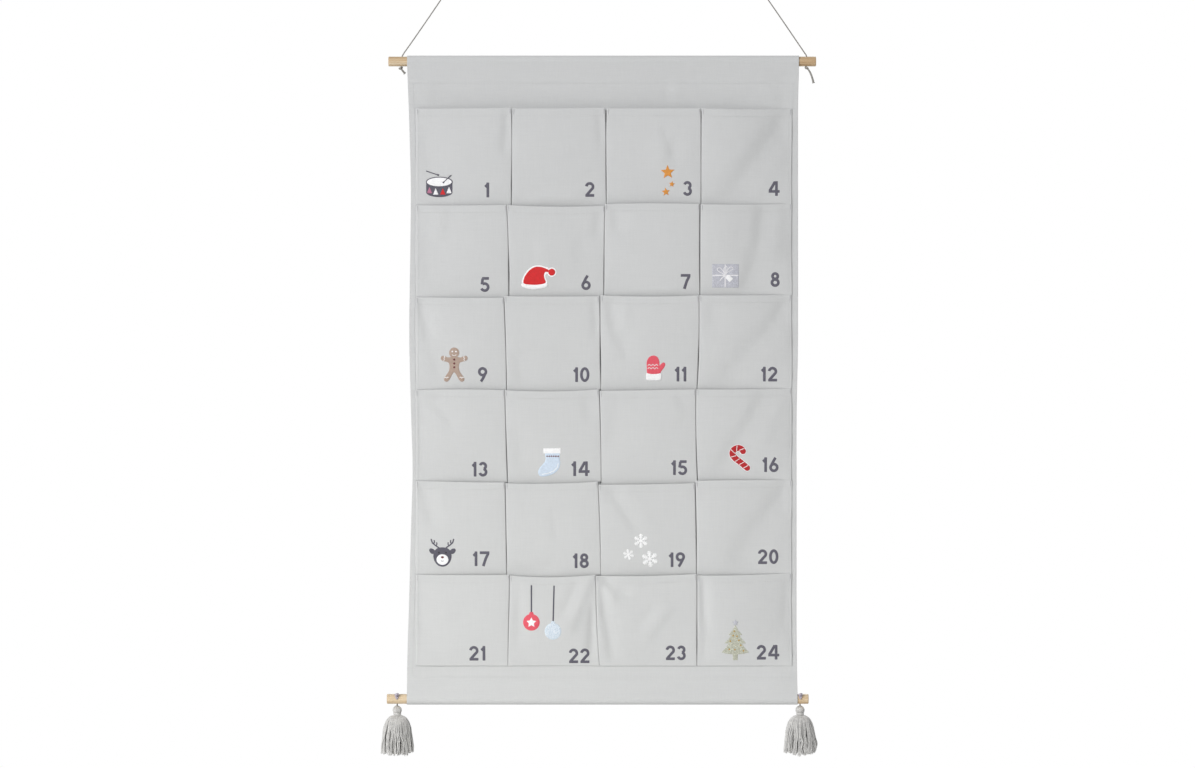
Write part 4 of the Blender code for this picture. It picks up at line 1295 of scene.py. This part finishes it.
def numbers():
    for number, (middle, foot) in enumerate(NUMBER_PLACES, 1):
        text = str(number)
        width = sum(DIGITS[digit][0] for digit in text) + DIGIT_GAP * (len(text) - 1)
        pen = middle - width * DIGIT_HEIGHT / 2
        heap = Heap()
        for digit in text:
            wide, rings, strokes = DIGITS[digit]
            for path in rings + strokes:
                placed = [(pen + x * DIGIT_HEIGHT, foot + z * DIGIT_HEIGHT) for x, z in path]
                satin(heap, number, placed, DIGIT_STROKE, DIGIT_RISE, path in rings)
            pen += (wide + DIGIT_GAP) * DIGIT_HEIGHT
        heap.piece(f"number_{number:02d}", DRESS["number_thread"], "panel", "canvas")


class Ornament:
    """Felt patches and stitched strokes of one pocket, gathered by material; sizes in millimetres."""

    def __init__(self, number, name, x, z):
        self.number, self.name, self.x, self.z = number, name, x, z
        self.heaps = {}

    def heap(self, dress):
        return self.heaps.setdefault(dress, Heap())

    def patch(self, dress, outline, height=0.5, base=0.0, border=0.9):
        placed = moved(outline, self.x, self.z)
        felt(self.heap(dress), self.number, placed, height / 1000, border / 1000, base / 1000)

    def stroke(self, dress, path, width, height=0.5, base=0.0, closed=False):
        placed = moved(path, self.x, self.z)
        satin(self.heap(dress), self.number, placed, width / 1000, height / 1000, closed, base / 1000)

    def pieces(self):
        for dress, heap in self.heaps.items():
            heap.piece(f"ornament_{self.number:02d}_{self.name}_{dress}", DRESS[dress], "panel", "canvas")


def flipped(side, points):
    """Points of one half, or mirrored for the other."""
    return [(side * x, z) for x, z in points]


def drum(form):
    side = [(-20.2, 0.0), *[(x, z - 15.5) for x, z in arc(0, 0, 20.2, 180, 360, 24, 0.35)], (20.2, 0.0)]
    form.patch("charcoal_felt", side, 0.45)
    for x, dress in ((-15.0, "rose_felt"), (-5.4, "white_felt"), (5.4, "red_felt"), (15.0, "white_felt")):
        drop = -1.8 - 7.0 * math.sqrt(1 - (x / 20.2) ** 2)
        form.patch(dress, [(x - 4.2, drop - 10.8), (x + 4.2, drop - 10.8), (x, drop - 0.8)], 0.3, 0.4, 0.5)
    form.patch("white_felt", ellipse(0, 0, 19.6, 0.36), 0.35, 0.35)
    form.stroke("charcoal_felt", ellipse(0, 0, 19.7, 0.365, 48), 1.5, 0.45, 0.45, True)
    low = [(x, z - 15.2) for x, z in arc(0, 0, 19.6, 184, 356, 24, 0.365)]
    form.stroke("charcoal_felt", low, 1.5, 0.4, 0.35)
    for start, end in (((-20.0, 16.8), (-1.8, 10.6)), ((18.2, 10.4), (6.4, -0.8))):
        form.stroke("charcoal_felt", [start, end], 1.5, 0.5, 0.6)
        form.patch("charcoal_felt", ellipse(*end, 1.5, 1.0, 14), 0.7, 0.6, 0.7)


def stars(form):
    for x, z, radius, turn in ((98.9, -349.9, 11.2, 2), (105.3, -368.1, 5.0, -8), (96.1, -379.9, 6.8, 6)):
        form.patch("orange_felt", star(x, z, radius, 0.44, turn), 0.6, 0.0, 0.7)


def hat(form):
    crown = [
        (-16.8, -8.6), (-15.9, -0.8), (-12.2, 6.0), (-6.0, 12.6), (1.5, 16.3), (9.0, 16.3), (15.2, 14.6),
        (20.6, 12.2), (22.6, 9.6), (20.4, 8.4), (16.6, 8.4), (14.6, 4.6), (15.2, -1.0), (17.2, -7.6),
        (8.0, -10.6), (-6.0, -11.0),
    ]
    edge = [
        (-18.8, -9.6), (-17.9, -0.2), (-13.8, 7.4), (-7.0, 14.6), (1.2, 18.3), (9.4, 18.3), (16.0, 16.4),
        (20.6, 15.0), (25.4, 8.6), (19.4, 5.4), (16.9, 3.8), (17.4, -1.0), (19.4, -8.4), (8.0, -12.6),
        (-6.0, -13.0),
    ]
    form.patch("white_felt", rounded(edge), 0.3)
    form.patch("white_felt", ellipse(26.4, 8.2, 7.2), 0.3)
    form.patch("red_felt", rounded(crown), 0.45, 0.25)
    form.patch("red_felt", ellipse(26.4, 8.2, 5.4), 0.9, 0.25, 3.0)
    band = [
        (-20.4, -11.2), (-18.6, -8.6), (-11.0, -10.8), (0.0, -11.9), (10.0, -11.3), (18.6, -8.6),
        (20.4, -10.6), (19.0, -13.8), (8.0, -17.2), (-3.0, -18.2), (-12.0, -16.9), (-18.6, -14.2),
    ]
    form.patch("white_felt", rounded(band), 0.9, 0.3, 2.6)


def gift(form):
    form.patch("silver_glitter", [(-20.4, -18.0), (20.4, -18.0), (20.4, 18.0), (-20.4, 18.0)], 0.4)
    form.stroke("ribbon_thread", [(-0.4, -17.6), (-0.4, 17.6)], 2.2, 0.35, 0.3)
    form.stroke("ribbon_thread", [(-20.0, 0.6), (20.0, 0.6)], 2.2, 0.35, 0.3)
    for loop in (
        [(-0.4, 1.0), (-5.0, 4.0), (-11.0, 7.2), (-12.6, 10.6), (-9.0, 12.4), (-4.6, 8.6)],
        [(-0.4, 1.0), (3.2, 5.4), (8.6, 8.4), (11.6, 11.2), (8.4, 13.6), (3.6, 9.4)],
        [(-0.4, 1.0), (-2.4, 7.6), (-1.4, 13.2), (1.6, 14.4), (2.4, 9.4)],
    ):
        form.stroke("ribbon_thread", rounded(loop), 1.3, 0.5, 0.45, True)
    form.stroke("ribbon_thread", [(-0.4, 1.0), (-5.4, -3.6), (-8.6, -7.8)], 1.6, 0.45, 0.4)
    tag = [(-3.8, -5.2), (3.8, -5.2), (3.8, 3.0), (1.8, 5.0), (-1.8, 5.0), (-3.8, 3.0)]
    form.patch("white_felt", moved(tag, 5.6, -3.6, 1.0, 0.75), 0.6, 0.55, 0.5)


def gingerbread(form):
    right = [
        (5.2, 11.6), (9.6, 10.8), (15.6, 13.2), (19.6, 12.6), (20.8, 9.0), (18.4, 6.0), (12.4, 4.2),
        (8.4, 2.4),
        (7.2, -4.0), (8.4, -10.0), (12.4, -16.4), (15.8, -21.6), (14.6, -25.4), (10.6, -26.2), (7.4, -23.4),
        (3.0, -15.4),
    ]
    body = [*right, (0.0, -12.0), *flipped(-1, right[::-1]), (0.0, 12.6)]
    form.patch("ginger_felt", rounded(body), 0.6, 0.0, 1.4)
    form.patch("ginger_felt", ellipse(0.0, 18.0, 7.8, 1.02), 0.6, 0.0, 1.4)
    for side in (-1, 1):
        for cuff in (
            [(15.4, 13.0), (14.4, 11.2), (15.8, 9.4), (14.8, 7.4), (16.4, 5.6)],
            [(7.8, -20.0), (10.0, -19.0), (11.2, -20.8), (13.2, -19.4), (15.0, -20.6)],
        ):
            form.stroke("icing_thread", flipped(side, cuff), 1.3, 0.4, 0.5)
        form.patch("white_felt", ellipse(side * 2.8, 19.8, 1.4, 1.0, 14), 0.5, 0.5, 0.6)
    form.stroke("icing_thread", arc(0.0, 18.0, 4.4, 215, 325, 12), 1.2, 0.4, 0.5)
    for button_z in (7.6, 1.6, -4.2):
        form.patch("berry_felt", ellipse(0.0, button_z, 1.7, 1.0, 18), 0.9, 0.45, 1.2)


def mitten(form):
    hand = [
        (-9.6, -8.0), (-10.8, 2.0), (-11.0, 10.0), (-7.6, 17.0), (-1.0, 20.0), (5.4, 17.6), (8.4, 11.0),
        (8.8, 4.4), (11.2, 7.4), (15.2, 9.4), (17.6, 6.8), (15.6, 1.4), (11.4, -4.0), (9.0, -8.0), (0.0, -8.6),
    ]
    form.patch("coral_felt", rounded(hand), 0.7, 0.0, 1.6)
    cuff = [
        (-11.4, -7.4), (0.0, -8.4), (11.0, -7.4), (11.6, -12.0), (10.8, -17.2), (0.0, -18.2), (-11.0, -17.2),
        (-11.8, -12.0),
    ]
    form.patch("white_felt", rounded(cuff), 0.9, 0.2, 2.2)
    for z in (0.6, 5.4):
        path = [(-9.6 + 2.7 * i, z + (1.4 if i % 2 else -1.4)) for i in range(7)]
        form.stroke("icing_thread", path, 1.1, 0.35, 0.6)


def stocking(form):
    leg = [
        (-6.4, 16.8), (-5.6, 9.6), (-7.0, 4.0), (-11.6, -1.4), (-15.8, -6.8), (-17.2, -12.4), (-15.2, -17.4),
        (-9.6, -18.8), (-0.7, -17.2), (7.6, -13.7), (14.4, -7.0), (16.6, 1.4), (15.8, 10.0), (15.6, 16.8),
        (5.0, 17.2),
    ]
    form.patch("ice_felt", rounded(leg), 0.6, 0.0, 1.6)
    form.patch("white_felt", [(-9.0, 16.6), (17.8, 16.6), (17.8, 24.8), (-9.0, 24.8)], 0.9, 0.1, 2.2)
    for x in np.linspace(-3.4, 13.4, 6):
        form.patch("berry_felt", ellipse(x, 12.4, 1.35, 0.95, 14), 0.7, 0.5, 0.9)
    shine = [(-12.0, -15.4), (-2.0, -13.6), (6.6, -10.0), (12.2, -4.4), (13.6, 2.0)]
    form.stroke("white_felt", shine, 0.9, 0.25, 0.55)


def candy_cane(form):
    bend = [
        (5.9, 11.4), (3.0, 15.2), (-2.2, 16.4), (-8.0, 13.7), (-10.4, 7.6), (-7.2, 1.8), (3.2, -6.4),
        (12.4, -14.2),
    ]
    route = flat_route(bend, 6)
    form.stroke("white_felt", route, 10.8, 0.4)
    form.stroke("cherry_felt", route, 9.2, 0.55, 0.25)
    for x, z in (route[0], route[-1]):
        form.patch("white_felt", ellipse(x, z, 5.4, 1.0, 30), 0.35)
        form.patch("cherry_felt", ellipse(x, z, 4.6, 1.0, 26), 0.5, 0.25)
    run = runs(route)
    for mark in np.arange(3.4, run[-1], 8.2):
        (x, z), following = along(route, run, [mark, mark + 0.5])
        dx, dz = following - (x, z)
        size = math.hypot(dx, dz)
        tx, tz = (-dz * 0.93 + dx * 0.36) / size, (dx * 0.93 + dz * 0.36) / size
        stripe = [(x + reach * tx, z + reach * tz) for reach in (-4.1, 4.1)]
        form.stroke("white_felt", stripe, 1.0, 0.35, 0.68)


def reindeer(form):
    for side in (-1, 1):
        for width, branch in (
            (2.1, [(5.2, 9.6), (11.0, 13.6), (15.6, 17.6), (17.4, 23.6)]),
            (1.8, [(9.6, 12.8), (8.4, 16.0), (9.0, 18.4)]),
            (1.8, [(13.6, 15.8), (12.2, 19.0), (12.8, 21.8)]),
        ):
            form.stroke("charcoal_felt", flipped(side, branch), width)
        ear = rounded(flipped(side, [(10.4, 3.0), (13.6, 7.6), (19.0, 8.8), (20.4, 5.2), (15.8, 0.2)]))
        form.patch("charcoal_felt", ear if side < 0 else ear[::-1], 0.55, 0.0, 1.2)
    half = [(7.6, 9.2), (12.6, 4.4), (14.0, -3.0), (12.0, -11.0), (6.6, -17.2)]
    head = [(0.0, 10.6), *half, (0.0, -19.2), *flipped(-1, half[::-1])]
    form.patch("charcoal_felt", rounded(head), 0.6, 0.1, 1.6)
    form.patch("white_felt", ellipse(0.0, -8.2, 9.2, 0.9), 0.45, 0.6, 1.2)
    form.patch("berry_felt", ellipse(0.0, -4.6, 2.5, 0.72, 20), 0.8, 0.9, 1.2)
    form.stroke("charcoal_felt", arc(0.0, -7.6, 3.2, 215, 325, 12), 0.8, 0.3, 0.95)
    for side in (-1, 1):
        form.patch("black_felt", ellipse(side * 5.4, 2.4, 1.3, 1.2, 14), 0.5, 0.6, 0.8)


def snowflakes(form):
    for x, z, radius, turn in ((57.9, -913.3, 11.0, 0), (39.0, -934.3, 8.4, 12), (71.6, -941.0, 12.6, 6)):
        for arm in range(6):
            t = math.radians(turn + 60 * arm + 90)
            c, s = math.cos(t), math.sin(t)
            form.stroke("white_felt", [(x, z), (x + radius * c, z + radius * s)], radius * 0.155, 0.45)
            for share, reach in ((0.36, 0.26), (0.56, 0.34), (0.78, 0.24)):
                bx, bz = x + radius * share * c, z + radius * share * s
                for side in (-1, 1):
                    b = t + side * math.radians(52)
                    tip = (bx + radius * reach * math.cos(b), bz + radius * reach * math.sin(b))
                    form.stroke("white_felt", [(bx, bz), tip], radius * 0.125, 0.4)


def baubles(form):
    form.stroke("charcoal_felt", [(-16.4, 64.0), (-16.4, 21.0)], 2.3, 0.45)
    form.patch("coral_felt", ellipse(-16.4, 7.2, 12.8), 0.8, border=3.5)
    form.patch("coral_felt", ellipse(-16.4, 20.4, 3.4, 0.9, 20), border=1.2)
    form.patch("white_felt", star(-16.4, 6.8, 8.2, 0.50), 0.4, 0.7, 0.7)
    form.stroke("charcoal_felt", [(18.2, 63.4), (16.8, 8.4)], 2.3, 0.45)
    form.patch("ice_glitter", ellipse(16.6, -6.6, 12.8), 0.8, 0.0, 3.5)
    form.patch("ice_glitter", ellipse(16.6, 7.0, 3.2, 0.8, 20), 0.5, 0.0, 1.2)


def tree(form):
    right = [
        (0.0, 22.6), (4.4, 14.4), (10.6, 7.4), (6.4, 6.6), (10.4, 0.8), (16.6, -5.4), (10.0, -6.0),
        (14.4, -12.4), (21.0, -19.6), (12.0, -21.8), (3.8, -22.6), (3.8, -31.6),
    ]
    outline = right + flipped(-1, right[:0:-1])
    form.patch("spruce_glitter", outline[::-1], 0.5, 0.0, 0.9)
    form.patch("silver_glitter", star(0.0, 26.0, 5.2, 0.46), 0.5, 0.2, 0.6)
    for x, z in (
        (-1.6, 13.0), (-3.2, 6.2), (2.6, 5.2), (5.4, -1.0), (-7.6, -2.4), (8.2, -8.6), (-9.2, -14.8),
        (-0.6, -15.2), (12.6, -17.0),
    ):
        form.patch("gold_felt", ellipse(x, z, 1.45, 1.0, 14), 0.7, 0.4, 1.0)


numbers()
# Each ornament: its pocket, what draws it, and the place it is drawn about
for number, draw, x, z in (
    (1, drum, -0.2504, -0.3646),
    (3, stars, 0.0, 0.0),
    (6, hat, -0.1047, -0.5108),
    (8, gift, 0.1873, -0.5082),
    (9, gingerbread, -0.2275, -0.6438),
    (11, mitten, 0.0778, -0.6500),
    (14, stocking, -0.0820, -0.7965),
    (16, candy_cane, 0.2082, -0.7878),
    (17, reindeer, -0.2455, -0.9339),
    (19, snowflakes, 0.0, 0.0),
    (22, baubles, -0.0930, -1.0450),
    (24, tree, 0.2023, -1.0645),
):
    form = Ornament(number, draw.__name__, x, z)
    draw(form)
    form.pieces()


# Tassels

def round_axis(hole_x, reach, turns, z):
    """Points round a tassel's own axis."""
    return np.stack([hole_x + reach * np.cos(turns), LINK_Y + reach * np.sin(turns), z], axis=1)


def rod_knot(side, hole_x, spread):
    """The stopper knot on the rod, its ends laid down the rod's front, and the yarn through the hole."""
    axis = np.array([hole_x, 0.0, BOTTOM_AXIS_Z])
    centre = axis + HOLE_OUT * ROD_KNOT_OUT
    knot = Heap()
    knot.tube(knot_route(centre, ROD_KNOT_REACH, 0.3), ROD_KNOT_STRAND, 8, closed=True)
    knot.tube(spaced([centre, axis - HOLE_OUT * DOWEL_RADIUS], 0.002), 0.0009, 8)
    for lean in (-1, 0, 1):
        angles = np.radians(np.linspace(38, 86 + 6 * (lean == 0), 8))
        reach = DOWEL_RADIUS + 0.0011
        x = hole_x + lean * spread * np.linspace(1.0, 0.25, 8)
        end = np.stack([x, -reach * np.sin(angles), BOTTOM_AXIS_Z + reach * np.cos(angles)], axis=1)
        knot.tube(end, np.linspace(0.0011, 0.0008, 8), 6)
    knot.piece(f"{side}_rod_knot", yarn_knot, "bottom_rail", "yarn", f"{side}_tassel_knot")


def link_cord(side, hole_x):
    start = np.array([hole_x, 0.0, BOTTOM_AXIS_Z]) - HOLE_OUT * (DOWEL_RADIUS + 0.0003)
    turn = start - HOLE_OUT * 0.0025
    end = np.array([hole_x, LINK_Y, BOTTOM_AXIS_Z - DOWEL_RADIUS - 0.0030])
    shares = np.linspace(0, 1, 14)[:, None]
    route = (1 - shares) ** 2 * start + 2 * shares * (1 - shares) * turn + shares**2 * end
    link = Heap()
    link.twisted(route, LINK_RADIUS, LINK_PITCH)
    link.piece(f"{side}_link_cord", painted_shade_link_thread, f"{side}_tassel_link", "yarn", f"{side}_tassel_cord")


def tassel_head(side, hole_x):
    """Yarn folded over the top and gathered at the neck, round a full core."""
    last = math.pi * 0.74
    down = np.linspace(0.03, 1, 16)
    radius = HEAD_RADIUS * np.sin(last * down**1.12)
    z = HEAD_TOP_Z - HEAD_HEIGHT * (1 - np.cos(last * down)) / (1 - math.cos(last))
    head = Heap()
    core = []
    for r, height in zip(radius, z):
        turns = np.linspace(0, 2 * math.pi, 25)[:-1]
        inner = CORE_SHARE * r
        core.append([(hole_x + inner * math.cos(t), LINK_Y + inner * math.sin(t), height) for t in turns])
    head.grid(core, close=True)
    for i in range(HEAD_STRANDS):
        swirl = rng.uniform(0.2, 0.7) * down + 0.09 * np.sin(5 * down + rng.uniform(0, 6.3))
        turn = 2 * math.pi * i / HEAD_STRANDS + swirl
        reach = np.maximum(radius - 0.0006 * rng.uniform(0.6, 1.5), 0.0003)
        head.tube(round_axis(hole_x, reach, turn, z), HEAD_YARN, 5)
    head.piece(f"{side}_head_yarn", yarn, f"{side}_tassel", "yarn", f"{side}_tassel_head")


def neck_binding(side, hole_x):
    """Yarn wound round the neck."""
    turns = np.linspace(0, 2 * math.pi * BINDING_TURNS, 130)
    sway = 0.00022 * np.sin(turns * 0.37) + 0.00012 * np.sin(turns * 1.9)
    reach = NECK_RADIUS + 0.0010 + sway
    z = NECK_TOP_Z + 0.0003 - (0.0031 + 0.0004 * np.sin(turns * 0.8)) * turns / turns[-1]
    ring = Heap()
    ring.tube(round_axis(hole_x, reach, turns, z), BINDING_YARN)
    ring.piece(f"{side}_neck_winding", yarn, f"{side}_tassel", "yarn", f"{side}_tassel_binding")


def skirt(side, hole_x, seed, bulge, parting, hem):
    """Hanging yarn ends: crinkled strands in uneven locks, with a gap between two of them."""
    dice = random.Random(seed)
    shoulder = NECK_TOP_Z - 0.0033
    depths, shares = np.array(SKIRT_SHARES).T
    down = np.linspace(0, 1, 34)
    waves = []
    for i in range(LOCKS):
        middle = 2 * math.pi * (i + dice.uniform(-0.3, 0.3)) / LOCKS
        phases = [dice.uniform(0, 2 * math.pi) for _ in range(3)]
        waves.append((middle, phases, dice.uniform(0.965, 1.0), dice.uniform(-0.26, 0.26)))
    gap_turn, gap_from, gap_to = parting
    opened = np.clip((down - gap_from) / 0.12, 0, 1) * np.clip((gap_to - down) / 0.12, 0, 1)
    heap = Heap()
    for i in range(STRANDS):
        start = 2 * math.pi * i * 0.618034
        layer = 1.0 - 0.80 * (i / STRANDS) ** 2.0 + dice.uniform(-0.05, 0.0)
        lock = min(waves, key=lambda wave: abs(math.remainder(wave[0] - start, 2 * math.pi)))
        pull = math.remainder(lock[0] - start, 2 * math.pi) * dice.uniform(0.15, 0.6)
        away = math.remainder(start + pull - gap_turn, 2 * math.pi)
        stray = dice.random() < 0.20 and abs(away) > 0.45
        cross = dice.uniform(-0.6, 0.6) if stray else dice.uniform(-0.08, 0.08)
        sideways = abs(math.cos(start)) ** 2 * hem[0 if math.cos(start) < 0 else 1]
        length = SKIRT_LENGTH * lock[2] * dice.uniform(0.97, 1.0) * (1 - 0.05 * (1 - layer) - sideways)
        depth = down * length
        lean = lock[3] * (1 - math.exp(-((away / 0.6) ** 2)))
        turn = start + (pull + cross + lean) * down**0.8
        for (rate, size), phase in zip(((1.2, 0.07), (2.9, 0.020), (5.2, 0.006)), lock[1]):
            swing = rate * 2 * math.pi * down + phase + dice.uniform(-0.3, 0.3)
            turn = turn + size * np.sin(swing) * down**0.6
        crimp = dice.uniform(4, 7) * 2 * math.pi * down + dice.uniform(0, 6.3)
        turn = turn + 0.006 * np.sin(crimp) * down**0.5
        parted = math.copysign(0.070 / (0.5 + 0.5 * layer), away)
        turn = turn + opened * parted * math.exp(-((away / 0.32) ** 2))
        reach = SKIRT_RADIUS * np.interp(depth / SKIRT_LENGTH, depths, shares) * (0.18 + 0.82 * layer)
        reach = reach + 0.0003 * np.sin(dice.uniform(2, 4) * 2 * math.pi * down + dice.uniform(0, 6.3)) * down
        swell = np.exp(-(((down - 0.80) / 0.16) ** 2)) - 0.9 * np.clip((down - 0.86) / 0.14, 0, 1) ** 2
        reach = reach * (1 + bulge * swell * np.maximum(np.cos(turn), 0) ** 2)
        reach = np.minimum(reach, SKIRT_RADIUS * 1.07)
        neck = NECK_RADIUS * (0.25 + 0.70 * layer) - 0.0002
        reach[0] = neck
        top = [(hole_x + neck * math.cos(turn[0]), LINK_Y + neck * math.sin(turn[0]), NECK_TOP_Z)]
        route = np.concatenate([top, round_axis(hole_x, reach, turn, shoulder - depth)])
        thin = np.ones(len(route))
        thin[[0, 1, -1]] = 0.6
        heap.tube(route, YARN_RADIUS * thin * dice.uniform(0.75, 1.12), 5)
    heap.piece(f"{side}_skirt_yarn", yarn, f"{side}_tassel", "yarn", f"{side}_tassel_skirt")


for side, hole_x, seed, bulge, spread, parting, hem in TASSELS:
    rod_knot(side, hole_x, spread)
    link_cord(side, hole_x)
    tassel_head(side, hole_x)
    neck_binding(side, hole_x)
    skirt(side, hole_x, seed, bulge, parting, hem)


# Rods

for name in ("top_dowel", "bottom_dowel"):
    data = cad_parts[name].data
    data.materials.clear()
    data.materials.append(wood)
